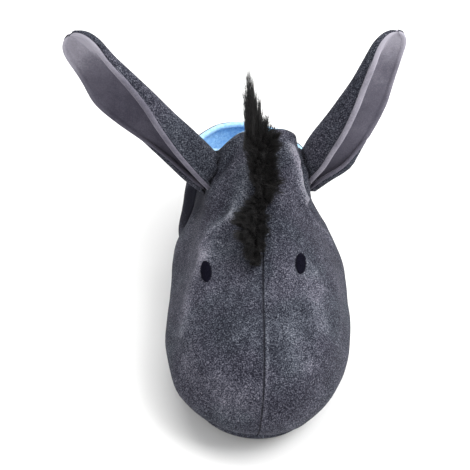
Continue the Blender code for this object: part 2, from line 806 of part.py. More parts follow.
def main():
    """Builds every piece of the slipper."""
    for old in list(bpy.data.objects):
        bpy.data.objects.remove(old)
    cloth = material("charcoal_cloth", (0.055, 0.060, 0.075), 0.95)
    textile = material("sole_textile", (0.030, 0.031, 0.035), 0.95)
    fleece = material("blue_lining", (0.10, 0.30, 0.68), 0.95)
    fur = material("black_fur", (0.008, 0.008, 0.008), 0.90)
    thread = material("black_thread", (0.006, 0.006, 0.010), 0.55)
    build_sole(textile)
    build_insole(fleece)
    upper = build_upper(cloth)
    build_piping(upper, fleece)
    cutter = build_seat_cutter()
    for pose in EAR_POSES:
        build_ear(pose, cutter, cloth)
    build_mane(cutter, fur)
    for eye in EYES:
        build_eye(eye, cutter, thread)


main()
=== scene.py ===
"""Donkey slipper, dressed: plush head, cupped ears, fur mane, stitched eyes and blue lining.

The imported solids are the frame, and soft pieces replace them at the same places. Metres, +Z up. The
toe points along -Y and +X is the right-hand side of someone who faces the toe.
"""

import sys

import logging
import math
import random
from collections.abc import Iterable, Sequence
from dataclasses import astuple, dataclass, field, replace
from enum import Enum

import bmesh
import bpy
import numpy as np
from mathutils import Matrix, Vector, noise
from mathutils.bvhtree import BVHTree


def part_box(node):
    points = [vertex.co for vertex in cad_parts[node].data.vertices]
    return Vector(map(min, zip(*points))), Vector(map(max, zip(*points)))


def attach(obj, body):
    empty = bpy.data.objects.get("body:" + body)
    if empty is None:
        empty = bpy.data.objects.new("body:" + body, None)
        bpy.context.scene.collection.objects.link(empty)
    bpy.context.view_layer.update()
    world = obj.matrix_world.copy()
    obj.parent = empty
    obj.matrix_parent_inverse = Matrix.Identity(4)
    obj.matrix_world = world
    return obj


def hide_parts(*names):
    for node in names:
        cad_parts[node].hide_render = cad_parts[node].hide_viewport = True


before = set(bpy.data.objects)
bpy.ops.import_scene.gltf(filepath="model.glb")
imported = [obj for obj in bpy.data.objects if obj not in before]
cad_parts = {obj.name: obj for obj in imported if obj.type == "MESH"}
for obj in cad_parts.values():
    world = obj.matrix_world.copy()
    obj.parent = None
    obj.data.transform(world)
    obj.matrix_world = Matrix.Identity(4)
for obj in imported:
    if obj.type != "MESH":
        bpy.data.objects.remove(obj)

log = logging.getLogger("donkey_slipper")

Colour = tuple[float, float, float]
Point = tuple[float, float, float]
BMesh = bmesh.types.BMesh
Material = bpy.types.Material
Mesh = bpy.types.Mesh
Strands = list[list[Vector]]

ROOT = "root"
FOLD_STEPS = 6
WELD = 1e-5
UP = Vector((0.0, 0.0, 1.0))


# Shader building


class Value:
    """A number socket that Python's operators work on, with one Math node to each of them."""

    def __init__(self, paint: "Paint", socket: bpy.types.NodeSocket) -> None:
        """Keeps the socket and the tree it belongs to."""
        self.paint = paint
        self.socket = socket

    def _math(self, operation: str, *values: "Value | float") -> "Value":
        """Adds one Math node."""
        return self.paint.node("ShaderNodeMath", {"operation": operation}, dict(enumerate(values)))

    def __add__(self, other: "Value | float") -> "Value":
        """self + other."""
        return self._math("ADD", self, other)

    __radd__ = __add__

    def __sub__(self, other: "Value | float") -> "Value":
        """self - other."""
        return self._math("SUBTRACT", self, other)

    def __rsub__(self, other: "Value | float") -> "Value":
        """other - self."""
        return self._math("SUBTRACT", other, self)

    def __mul__(self, other: "Value | float") -> "Value":
        """self * other."""
        return self._math("MULTIPLY", self, other)

    __rmul__ = __mul__

    def sine(self) -> "Value":
        """Sine of the value."""
        return self._math("SINE", self)

    def step(self, low: float, high: float) -> "Value":
        """Smooth step from 0 at low to 1 at high."""
        settings = {"interpolation_type": "SMOOTHSTEP"}
        return self.paint.node("ShaderNodeMapRange", settings, {0: self, 1: low, 2: high, 3: 0.0, 4: 1.0})


class Paint:
    """One material under construction."""

    def __init__(self, name: str) -> None:
        """Starts a material with its Principled shader.

        Args:
            name: Name of the material.
        """
        self.material = bpy.data.materials.new(name)
        self.material.use_nodes = True
        self.tree = self.material.node_tree
        self.shader = self.tree.nodes["Principled BSDF"]

    def node(
        self, kind: str, settings: dict | None = None, inputs: dict | None = None, output: int | str = 0
    ) -> Value:
        """Adds one node.

        Args:
            kind: Blender's name for the node's type.
            settings: Properties of the node, or "stops" for the places and colours of a ramp.
            inputs: Numbers, colours or other nodes' values, by socket name or number.
            output: The output socket that is wanted.

        Returns:
            The output as a value.
        """
        made = self.tree.nodes.new(kind)
        for name, setting in (settings or {}).items():
            if name == "stops":
                self._set_stops(made.color_ramp, setting)
            else:
                setattr(made, name, setting)
        for name, given in (inputs or {}).items():
            if isinstance(given, Value):
                self.tree.links.new(given.socket, made.inputs[name])
            else:
                made.inputs[name].default_value = given
        return Value(self, made.outputs[output])

    @staticmethod
    def _set_stops(ramp: bpy.types.ColorRamp, stops: Sequence[tuple[float, Colour]]) -> None:
        """Gives a ramp its colours.

        Args:
            ramp: The ramp.
            stops: Places and colours.
        """
        while len(ramp.elements) < len(stops):
            ramp.elements.new(1.0)
        for element, (place, colour) in zip(ramp.elements, stops):
            element.position = place
            element.color = (*colour, 1.0)

    def place(self) -> Value:
        """Place on the object, in metres."""
        return self.node("ShaderNodeTexCoord", output="Object")

    def along(self, axis: str) -> Value:
        """One coordinate of the place on the object: X, Y or Z."""
        return self.node("ShaderNodeSeparateXYZ", inputs={0: self.place()}, output=axis)

    def attribute(self, name: str) -> Value:
        """A number kept on the mesh."""
        return self.node("ShaderNodeAttribute", {"attribute_name": name}, output="Fac")

    def grain(
        self, size: float, detail: float = 2.0, stretch: Point = (1.0, 1.0, 1.0), seed: float = 0.0
    ) -> Value:
        """Soft noise around 0.5.

        Args:
            size: Size of its spots in metres.
            detail: Finer layers on top.
            stretch: Scale of the pattern along each axis; a small number draws it out.
            seed: Moves the pattern, so that two layers differ.

        Returns:
            The noise as a value.
        """
        place = {"Vector": self.place(), "Scale": stretch, "Location": (seed, seed, seed)}
        moved = self.node("ShaderNodeMapping", inputs=place)
        pattern = {"Vector": moved, "Scale": 1 / size, "Detail": detail, "Roughness": 0.6}
        return self.node("ShaderNodeTexNoise", inputs=pattern)

    def mix(
        self, factor: Value | float, low: Value | Colour, high: Value | Colour, blend: str = "MIX"
    ) -> Value:
        """Mixes two colours by a factor.

        Args:
            factor: Share of the second colour.
            low: First colour.
            high: Second colour.
            blend: Blender's name for the way they mix.

        Returns:
            The mixed colour.
        """
        low, high = ((*c, 1.0) if isinstance(c, tuple) else c for c in (low, high))
        settings = {"data_type": "RGBA", "blend_type": blend}
        return self.node("ShaderNodeMix", settings, {0: factor, 6: low, 7: high}, 2)

    def ramp(self, factor: Value, stops: Sequence[tuple[float, Colour]]) -> Value:
        """Colour from a ramp."""
        return self.node("ShaderNodeValToRGB", {"stops": stops}, {0: factor})

    def bump(self, height: Value, distance: float) -> None:
        """Raises the surface by a height map of so many metres.

        Args:
            height: The height map.
            distance: Metres that a height of 1 stands for.
        """
        relief = {"Height": height, "Distance": distance, "Strength": 1.0}
        normal = self.node("ShaderNodeBump", inputs=relief, output="Normal")
        self.tree.links.new(normal.socket, self.shader.inputs["Normal"])

    def finish(self, colour: Value | Colour, **constants: float | Colour | Value) -> Material:
        """Closes the material.

        Args:
            colour: Base colour.
            **constants: Other sockets of the shader, with _ for a space in their names.

        Returns:
            The material.
        """
        sockets = {name.replace("_", " "): given for name, given in constants.items()}
        for name, given in {"Base Color": colour, **sockets}.items():
            socket = self.shader.inputs[name]
            if isinstance(given, Value):
                self.tree.links.new(given.socket, socket)
            else:
                socket.default_value = (*given, 1.0) if isinstance(given, tuple) else given
        return self.material


# Finishes


@dataclass(frozen=True)
class HeatherCloth:
    """Brushed charcoal plush: pale flecks in a dark pile, with cool and purple patches, and paler and darker
    patches that are partly pile tone and partly painted highlight and painted shade.
    """

    name: str = "charcoal_plush"
    shadow: Colour = (0.009, 0.009, 0.014)
    pile: Colour = (0.040, 0.042, 0.054)
    fleck: Colour = (0.110, 0.114, 0.136)
    # Palest tone, reached by pale flecks and by painted highlight.
    pale_pile_and_highlight: Colour = (0.230, 0.230, 0.255)
    purple: Colour = (1.02, 0.98, 1.04)
    cool: Colour = (0.97, 1.01, 1.03)
    fleck_size: float = 0.00085
    tuft_size: float = 0.0030
    patch_size: float = 0.024
    tint_size: float = 0.045
    stroke_size: float = 0.0060
    relief: float = 0.0006
    fleck_share: float = 1.76
    tuft_share: float = 0.30
    patch_share: float = 0.27
    stroke_share: float = 0.25
    pile_and_light_share: float = 0.24
    darker: float = 0.82
    seam_shade: float = 0.85
    # Patches painted paler or darker: centre, radius, amount. The two at the left neck are painted shadow
    # under the left ear; the others make the pile paler or darker.
    pile_and_shade_patches: tuple[tuple[Point, float, float], ...] = (
        ((-0.030, -0.034, 0.084), 0.018, 0.30),
        ((-0.021, -0.132, 0.050), 0.026, 0.55),
        ((0.020, -0.132, 0.051), 0.018, -0.25),
        ((-0.033, -0.094, 0.070), 0.016, -0.20),
        # Painted shadow under the left ear.
        ((-0.050, 0.045, 0.049), 0.022, -1.20),
        ((-0.043, 0.043, 0.061), 0.018, -0.90),
        ((-0.0447, -0.1087, 0.0544), 0.018, 0.35),
        ((0.0133, -0.0240, 0.0990), 0.022, -0.35),
        ((0.0227, -0.1037, 0.0713), 0.016, -0.25),
    )

    def build(self) -> Material:
        """Makes the material.

        Returns:
            The material.
        """
        paint = Paint(self.name)
        fleck = paint.grain(self.fleck_size, 2.0)
        tuft = paint.grain(self.tuft_size, 2.0, seed=0.3)
        patch = paint.grain(self.patch_size, 3.0, seed=0.7)
        tint = paint.grain(self.tint_size, 2.0, seed=1.1)
        # Painted light over pile tone: paler along ridges and right of the seam (painted highlight), darker
        # in troughs and under the left ear (painted shade).
        rub = paint.attribute("rub")
        for centre, radius, amount in self.pile_and_shade_patches:
            ends = {0: paint.place(), 1: centre}
            reach = paint.node("ShaderNodeVectorMath", {"operation": "DISTANCE"}, ends, "Value")
            rub = rub + amount * (1 - reach.step(0.2 * radius, radius))
        stroke = paint.grain(self.stroke_size, 3.0, stretch=(1.0, 0.35, 0.6), seed=1.9)
        # The painted highlight and shade, broken up by the pile's strokes.
        broken_pile_and_light = rub * (0.35 + stroke * 1.3)
        tone = fleck * self.fleck_share + tuft * self.tuft_share + patch * self.patch_share
        tone = tone + stroke * self.stroke_share + broken_pile_and_light * self.pile_and_light_share - self.darker
        stops = ((0.22, self.shadow), (0.50, self.pile), (0.74, self.fleck), (0.95, self.pale_pile_and_highlight))
        pile = paint.ramp(tone, stops)
        tinted = paint.mix(tint.step(0.40, 0.62), self.cool, self.purple)
        coloured = paint.mix(1.0, pile, tinted, "MULTIPLY")
        seam = paint.attribute("seam")
        sewn = paint.mix(seam * self.seam_shade, coloured, self.shadow)
        paint.bump(fleck * 0.6 + tuft * 0.4 - seam * 0.8, self.relief)
        return paint.finish(
            sewn, Roughness=1.0, Specular_IOR_Level=0.05, Sheen_Weight=0.06, Sheen_Roughness=0.5,
            Sheen_Tint=(0.80, 0.82, 0.90),
        )


@dataclass(frozen=True)
class Velour:
    """Lilac-grey velour inside the ears, with painted highlight on the lips and tip, painted shade in the
    hollow.
    """

    name: str = "lilac_velour"
    deep: Colour = (0.060, 0.056, 0.078)
    middle: Colour = (0.125, 0.118, 0.150)
    pale: Colour = (0.360, 0.345, 0.400)
    stroke_size: float = 0.012
    pile_size: float = 0.0009
    relief: float = 0.00015
    stroke_share: float = 0.50
    pile_share: float = 0.40

    def build(self) -> Material:
        """Makes the material.

        Returns:
            The material.
        """
        paint = Paint(self.name)
        stroke = paint.grain(self.stroke_size, 3.0, seed=0.4)
        pile = paint.grain(self.pile_size, 2.0)
        # The attribute paints the velour's light and shade: painted highlight on the lips and tip, painted
        # shade in the hollow and over the left ear.
        tone = paint.attribute("nap") + (stroke - 0.5) * self.stroke_share + (pile - 0.5) * self.pile_share
        colour = paint.ramp(tone, ((0.05, self.deep), (0.45, self.middle), (1.0, self.pale)))
        paint.bump(pile, self.relief)
        return paint.finish(
            colour, Roughness=0.95, Specular_IOR_Level=0.08, Sheen_Weight=0.22, Sheen_Roughness=0.45,
            Sheen_Tint=(0.92, 0.90, 1.0),
        )


@dataclass(frozen=True)
class Pile:
    """A finish in two tones of one grain: fleece, fur, thread or rubber.

    stretch is small along the axis that the grain is drawn out on, and gloss holds the shader's other
    sockets.
    """

    name: str
    low: Colour
    high: Colour
    size: float
    gloss: dict[str, float | Colour]
    stops: tuple[float, float] = (0.35, 0.65)
    relief: float = 0.0
    detail: float = 2.0
    stretch: Point = (1.0, 1.0, 1.0)

    def build(self) -> Material:
        """Makes the material.

        Returns:
            The material.
        """
        paint = Paint(self.name)
        grain = paint.grain(self.size, self.detail, self.stretch)
        if self.relief:
            paint.bump(grain, self.relief)
        return paint.finish(paint.ramp(grain, tuple(zip(self.stops, (self.low, self.high)))), **self.gloss)


FLEECE_GLOSS = {
    "Roughness": 0.95, "Specular_IOR_Level": 0.15, "Sheen_Weight": 0.45, "Sheen_Roughness": 0.5,
    "Sheen_Tint": (0.85, 0.92, 1.0),
}
LINING_FLEECE = Pile(
    "blue_fleece", (0.22, 0.47, 0.80), (0.40, 0.70, 0.97), 0.0022, FLEECE_GLOSS, relief=0.0005, detail=3.0
)
RIM_FLEECE = replace(LINING_FLEECE, name="pale_blue_fleece", low=(0.30, 0.56, 0.86), high=(0.48, 0.76, 0.98))
LONG_FUR = Pile(
    "black_pile", (0.004, 0.004, 0.005), (0.022, 0.020, 0.019), 0.0016,
    {"Roughness": 0.62, "Specular_IOR_Level": 0.25, "Sheen_Weight": 0.06, "Sheen_Roughness": 0.5},
    stops=(0.35, 0.72), stretch=(1.0, 1.0, 0.15),
)
SATIN_THREAD = Pile(
    "satin_thread", (0.0030, 0.0028, 0.0055), (0.0085, 0.0080, 0.0170), 0.0004,
    {"Roughness": 0.60, "Specular_IOR_Level": 0.02, "Sheen_Weight": 0.0},
    stops=(0.35, 0.70), relief=0.0001, stretch=(0.2, 1.0, 1.0),
)
GRIP_RUBBER = Pile(
    "grip_dot", (0.015, 0.015, 0.017), (0.032, 0.032, 0.035), 0.0008,
    {"Roughness": 0.55, "Specular_IOR_Level": 0.4}, stops=(0.0, 1.0), relief=0.00005,
)


@dataclass(frozen=True)
class SoleTextile:
    """Matt woven textile under the sole."""

    name: str = "sole_weave"
    low: Colour = (0.010, 0.010, 0.012)
    high: Colour = (0.045, 0.045, 0.052)
    thread_size: float = 0.0012
    relief: float = 0.0003

    def build(self) -> Material:
        """Makes the material.

        Returns:
            The material.
        """
        paint = Paint(self.name)
        turns = 2 * math.pi / self.thread_size
        warp = (paint.along("X") * turns).sine()
        weft = (paint.along("Y") * turns).sine()
        weave = warp * weft * 0.25 + paint.grain(self.thread_size, 2.0)
        colour = paint.ramp(weave, ((0.25, self.low), (0.75, self.high)))
        paint.bump(weave, self.relief)
        return paint.finish(colour, Roughness=0.92, Specular_IOR_Level=0.2, Sheen_Weight=0.1)


@dataclass(frozen=True)
class PaleFloor:
    """Plain white floor."""

    name: str = "pale_floor"
    colour: Colour = (0.86, 0.86, 0.855)

    def build(self) -> Material:
        """Makes the material."""
        return Paint(self.name).finish(self.colour, Roughness=0.9, Specular_IOR_Level=0.1)


@dataclass
class Wardrobe:
    """Every finish of the slipper, made once."""

    plush: Material = field(default_factory=HeatherCloth().build)
    velour: Material = field(default_factory=Velour().build)
    lining: Material = field(default_factory=LINING_FLEECE.build)
    rim: Material = field(default_factory=RIM_FLEECE.build)
    fur: Material = field(default_factory=LONG_FUR.build)
    thread: Material = field(default_factory=SATIN_THREAD.build)
    textile: Material = field(default_factory=SoleTextile().build)
    grip: Material = field(default_factory=GRIP_RUBBER.build)


class Slot(Enum):
    """Material slots of the record."""

    CLOTH = "charcoal_cloth"
    SOLE = "sole_textile"
    LINING = "blue_lining"
    FUR = "black_fur"
    THREAD = "black_thread"


# Curves, objects and meshes


def unit(value: float) -> float:
    """The value, held between 0 and 1."""
    return min(max(value, 0.0), 1.0)


def eased(value: float) -> float:
    """The value, held between 0 and 1, with a soft start and end."""
    share = unit(value)
    return share * share * (3 - 2 * share)


def bell(value: float | np.ndarray) -> float | np.ndarray:
    """A bell curve that is 1 at 0."""
    return np.exp(-(value**2))


def linked(name: str, data: bpy.types.ID) -> bpy.types.Object:
    """A new object in the scene.

    Args:
        name: Its name.
        data: Its mesh, light or camera.

    Returns:
        The object.
    """
    made = bpy.data.objects.new(name, data)
    bpy.context.scene.collection.objects.link(made)
    return made


def cad_copy(node: str) -> BMesh:
    """A CAD node's mesh, merged and joined up into quads.

    Args:
        node: Name of the node.

    Returns:
        The copy.
    """
    bm = bmesh.new()
    bm.from_mesh(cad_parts[node].data)
    bmesh.ops.remove_doubles(bm, verts=bm.verts, dist=WELD)
    bmesh.ops.join_triangles(
        bm, faces=bm.faces, angle_face_threshold=math.radians(50), angle_shape_threshold=math.radians(70)
    )
    return bm


def keep_sheet(bm: BMesh, seed: Vector, crease: float) -> None:
    """Keeps the faces that run on from the one nearest a point without crossing a crease.

    Args:
        bm: The mesh.
        seed: A point near the sheet.
        crease: Smallest angle between two faces, in radians, that bounds the sheet.
    """
    start = min(bm.faces, key=lambda face: (face.calc_center_median() - seed).length_squared)
    kept = {start}
    front = [start]
    while front:
        face = front.pop()
        for edge in face.edges:
            if edge.is_manifold and edge.calc_face_angle(0.0) < crease:
                for other in edge.link_faces:
                    if other not in kept:
                        kept.add(other)
                        front.append(other)
    bmesh.ops.delete(bm, geom=[face for face in bm.faces if face not in kept], context="FACES")


def as_mesh(name: str, bm: BMesh) -> Mesh:
    """Turns a bmesh into a smooth shaded mesh and frees it.

    Args:
        name: Name of the mesh.
        bm: The shape, which is used up.

    Returns:
        The mesh.
    """
    mesh = bpy.data.meshes.new(name)
    bm.to_mesh(mesh)
    bm.free()
    mesh.shade_smooth()
    return mesh


def refined(bm: BMesh, levels: int = 2) -> BMesh:
    """The shape after some levels of smooth subdivision.

    Args:
        bm: The shape, which is used up.
        levels: How often each face is divided.

    Returns:
        The finer shape.
    """
    holder = linked("holder", as_mesh("holder", bm))
    surface = holder.modifiers.new("refine", "SUBSURF")
    surface.levels = levels
    surface.render_levels = levels
    surface.boundary_smooth = "PRESERVE_CORNERS"
    depsgraph = bpy.context.evaluated_depsgraph_get()
    made = bmesh.new()
    made.from_mesh(bpy.data.meshes.new_from_object(holder.evaluated_get(depsgraph)))
    bpy.data.objects.remove(holder)
    return made


def keep_number(mesh: Mesh, name: str, values: Iterable[float]) -> None:
    """Keeps one number for each vertex as an attribute."""
    attribute = mesh.attributes.new(name, "FLOAT", "POINT")
    attribute.data.foreach_set("value", np.asarray(list(values), np.float32))


def smooth_between(rows: Sequence[Sequence[float]], place: float) -> list[float]:
    """Values of every column but the first at a place, on a smooth curve through the rows.

    Args:
        rows: The table, its first column the place.
        place: Where the values are wanted.

    Returns:
        The values.
    """
    last = len(rows) - 1
    index = 0
    while index < last - 1 and place > rows[index + 1][0]:
        index += 1
    before, low, high, after = (rows[min(max(i, 0), last)] for i in range(index - 1, index + 3))
    span = high[0] - low[0]
    share = unit((place - low[0]) / span)
    square = share * share
    cube = square * share
    values = []
    for old, start, end, new in list(zip(before, low, high, after))[1:]:
        slope_low = (end - old) / (high[0] - before[0]) * span
        slope_high = (new - start) / (after[0] - low[0]) * span
        values.append(
            (2 * cube - 3 * square + 1) * start + (cube - 2 * square + share) * slope_low
            + (3 * square - 2 * cube) * end + (cube - square) * slope_high
        )
    return values


def piece(
    name: str, mesh: Mesh, finish: Material, slot: Slot, *stands_for: str, wall: float = 0.0
) -> bpy.types.Object:
    """Links one finished piece, which rides on the slipper.

    Args:
        name: Name of the piece.
        mesh: Its mesh, in place.
        finish: Its material.
        slot: The record's material slot; not used.
        *stands_for: CAD nodes that it replaces.
        wall: Thickness that it gets inwards, where it is a sheet.

    Returns:
        The object.
    """
    made = linked(name, mesh)
    mesh.materials.clear()
    mesh.materials.append(finish)
    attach(made, ROOT)
    if stands_for:
        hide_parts(*stands_for)
    if wall:
        solid = made.modifiers.new("wall", "SOLIDIFY")
        solid.thickness = wall
        solid.offset = -1
    log.info("%s: %d faces", name, len(mesh.polygons))
    return made


def repeated(name: str, shape: BMesh, places: Sequence[Matrix]) -> Mesh:
    """One mesh of many copies of a small shape.

    Args:
        name: Name of the mesh.
        shape: The shape, which is used up.
        places: Where each copy stands.

    Returns:
        The joined mesh.
    """
    one = as_mesh(name, shape)
    corners = np.array([vert.co.to_4d() for vert in one.vertices])
    verts = np.concatenate([corners @ np.array(place).T[:, :3] for place in places])
    starts = range(0, len(verts), len(corners))
    faces = [tuple(start + i for i in poly.vertices) for start in starts for poly in one.polygons]
    mesh = bpy.data.meshes.new(name)
    mesh.from_pydata(verts.tolist(), [], faces)
    mesh.shade_smooth()
    return mesh


# The head


class Shell:
    """The finished outer face of the head, asked for places by whatever is sewn on it."""

    def __init__(self, mesh: Mesh) -> None:
        """Builds the search tree over a mesh."""
        self.tree = BVHTree.FromPolygons([v.co for v in mesh.vertices], [p.vertices for p in mesh.polygons])

    def nearest(self, point: Vector) -> tuple[Vector, Vector]:
        """Nearest point of the face and its outward normal."""
        hit, normal, _, _ = self.tree.find_nearest(point)
        return hit, normal

    def height(self, point: Vector) -> float:
        """Distance of a point above the face, negative below it."""
        hit, normal = self.nearest(point)
        return (point - hit).dot(normal)

    def under(self, x: float, y: float) -> tuple[Vector, Vector]:
        """Point of the face straight below a place and its outward normal."""
        hit, normal, _, _ = self.tree.ray_cast(Vector((x, y, 1.0)), Vector((0.0, 0.0, -1.0)))
        return hit, normal


@dataclass(frozen=True)
class Fold:
    """A soft trough or ridge over the head.

    Its places are shares of the head's half width, of its length from the toe and of its height. A
    negative depth is a ridge. Along it the cloth is also painted paler by the fourth field, or darker
    where that is negative: pile tone, with painted highlight along ridges and painted shade in troughs
    and under the left ear.
    """

    places: tuple[Point, ...]
    depth: float
    width: float
    rub: float = 0.0
    mirrored: bool = False

    def lines(self, low: Vector, high: Vector, shell: Shell) -> list[np.ndarray]:
        """The fold's line, laid on the head, and its mirror image if it has one.

        Args:
            low: Lowest corner of the head's box.
            high: Its highest corner.
            shell: The head.

        Returns:
            Points of each line.
        """
        size = high - low
        marks = [Vector((x * size.x / 2, low.y + y * size.y, low.z + z * size.z)) for x, y, z in self.places]
        points = [marks[0]]
        for start, end in zip(marks, marks[1:]):
            points += [start.lerp(end, (i + 1) / FOLD_STEPS) for i in range(FOLD_STEPS)]
        laid = np.array([shell.nearest(point)[0] for point in points])
        return [laid, laid * (-1, 1, 1)] if self.mirrored else [laid]

    def shape(self, places: np.ndarray, low: Vector, high: Vector, shell: Shell) -> np.ndarray:
        """How near each place is to the fold, from 0 to 1.

        Args:
            places: Places on the head.
            low: Lowest corner of the head's box.
            high: Its highest corner.
            shell: The head.

        Returns:
            One number for each place.
        """
        near = np.zeros(len(places))
        for line in self.lines(low, high, shell):
            away = np.sqrt(((places[:, None, :] - line[None, :, :]) ** 2).sum(-1)).min(1)
            near = np.maximum(near, bell(away / self.width))
        return near


# Each fold's fourth field paints the cloth: paler along ridges as painted highlight, darker in troughs as
# painted shade.
FOLDS = (
    Fold(((-0.16, 0.60, 0.91), (-0.16, 0.545, 0.82), (-0.20, 0.505, 0.78), (-0.31, 0.465, 0.71)),
         -0.0010, 0.0044, rub=0.75),
    Fold(((-0.31, 0.465, 0.71), (-0.41, 0.455, 0.66), (-0.52, 0.451, 0.60), (-0.58, 0.425, 0.56),
          (-0.61, 0.377, 0.57)), -0.0011, 0.0042, rub=0.70),
    Fold(((-0.61, 0.377, 0.57), (-0.66, 0.35, 0.52), (-0.715, 0.328, 0.48), (-0.75, 0.274, 0.445),
          (-0.78, 0.205, 0.40)), -0.0008, 0.0060, rub=0.75),
    Fold(((-0.07, 0.497, 0.80), (-0.132, 0.468, 0.77), (-0.203, 0.437, 0.735), (-0.313, 0.417, 0.69),
          (-0.413, 0.399, 0.65)), 0.0017, 0.0060, rub=-0.15),
    Fold(((0.263, 0.619, 0.916), (0.323, 0.591, 0.86), (0.383, 0.553, 0.786), (0.475, 0.531, 0.734)),
         -0.0020, 0.0030, rub=2.1),
    Fold(((0.475, 0.531, 0.734), (0.559, 0.519, 0.684), (0.688, 0.516, 0.602), (0.80, 0.534, 0.49),
          (0.851, 0.508, 0.429)), -0.0010, 0.0030, rub=0.6),
    Fold(((0.396, 0.653, 0.896), (0.463, 0.602, 0.829), (0.533, 0.567, 0.764), (0.691, 0.559, 0.648)),
         0.0022, 0.0060, rub=-0.45),
    Fold(((0.231, 0.333, 0.648), (0.335, 0.298, 0.601), (0.437, 0.272, 0.571), (0.537, 0.238, 0.539)),
         -0.0006, 0.0040, rub=0.10),
    Fold(((0.50, 0.33, 0.60), (0.58, 0.29, 0.56), (0.60, 0.24, 0.53), (0.62, 0.20, 0.50)),
         -0.0006, 0.0065, rub=0.60),
    Fold(((0.463, 0.368, 0.625), (0.549, 0.349, 0.592), (0.611, 0.325, 0.562), (0.641, 0.305, 0.541)),
         -0.0008, 0.0028, rub=0.45),
    Fold(((-0.186, 0.161, 0.566), (-0.263, 0.143, 0.547), (-0.349, 0.13, 0.524), (-0.425, 0.127, 0.506)),
         -0.0006, 0.0019, rub=0.5),
    Fold(((0.259, 0.156, 0.555), (0.358, 0.132, 0.523), (0.42, 0.099, 0.471)), 0.0, 0.0080, rub=0.62),
    Fold(((-0.327, 0.613, 0.885), (-0.427, 0.599, 0.82), (-0.517, 0.592, 0.757)), 0.0012, 0.0032, rub=-0.6),
    Fold(((-0.677, 0.59, 0.511), (-0.558, 0.514, 0.636), (-0.415, 0.495, 0.693)), 0.0012, 0.0070, rub=-0.5),
    # Painted shadow under the left ear, over a shallow trough.
    Fold(((-0.58, 0.67, 0.78), (-0.66, 0.63, 0.60), (-0.74, 0.66, 0.42)), 0.0006, 0.0120, rub=-2.0),
    Fold(((-0.40, 0.20, 0.58), (-0.36, 0.14, 0.54)), 0.0, 0.0120, rub=-0.35),
    Fold(((-0.502, 0.046, 0.243), (-0.473, 0.04, 0.161), (-0.46, 0.045, 0.06)), 0.0012, 0.0020, rub=-0.3),
    Fold(((-0.305, 0.068, 0.461), (-0.182, 0.056, 0.467), (-0.059, 0.061, 0.488)), 0.0005, 0.0060, rub=-0.4),
    Fold(((0.036, 0.108, 0.538), (0.134, 0.109, 0.538), (0.205, 0.128, 0.545)), 0.0006, 0.0050, rub=-0.35),
    Fold(((0.60, 0.720, 0.62), (0.70, 0.690, 0.46), (0.79, 0.645, 0.31), (0.84, 0.610, 0.12)),
         0.0034, 0.0085, rub=-0.3, mirrored=True),
    Fold(((0.72, 0.80, 0.40), (0.76, 0.74, 0.22)), 0.0016, 0.0090, mirrored=True),
    Fold(((0.55, 0.90, 0.42), (0.60, 0.93, 0.20)), 0.0010, 0.0080, mirrored=True),
)


@dataclass(frozen=True)
class Bulge:
    """How far the head's sides stand to the right of the pattern at a place along it, in metres."""

    along: float
    left: float
    right: float


@dataclass(frozen=True)
class Crest:
    """How far the top edge of the forehead is raised at a place across it, in metres."""

    across: float
    rise: float


CRESTS = tuple(Crest(*row) for row in (
    (-0.03, 0.0), (-0.0215, 0.0026), (-0.017, 0.0045), (-0.012, 0.0046), (-0.0044, 0.0038),
    (0.0014, 0.0042), (0.0054, 0.005), (0.0096, 0.007), (0.0143, 0.0094), (0.0187, 0.0108),
    (0.0233, 0.0112), (0.0275, 0.0086), (0.032, 0.0022), (0.036, 0.0),
))


BULGES = tuple(Bulge(*row) for row in (
    (-0.141, 0.0, 0.0), (-0.125, -0.0034, 0.001), (-0.111, -0.0046, 0.0016), (-0.098, -0.003, 0.0018),
    (-0.083, -0.0006, 0.0012), (-0.066, 0.0016, 0.0014), (-0.045, 0.003, 0.0026),
    (-0.025, 0.0034, 0.0038), (-0.007, 0.0024, 0.0052), (0.01, 0.0008, 0.0064),
    (0.022, -0.0008, 0.0054), (0.034, -0.0022, 0.0018), (0.05, -0.0016, 0.0004), (0.07, 0.0, 0.0),
    (0.135, 0.0, 0.0),
))


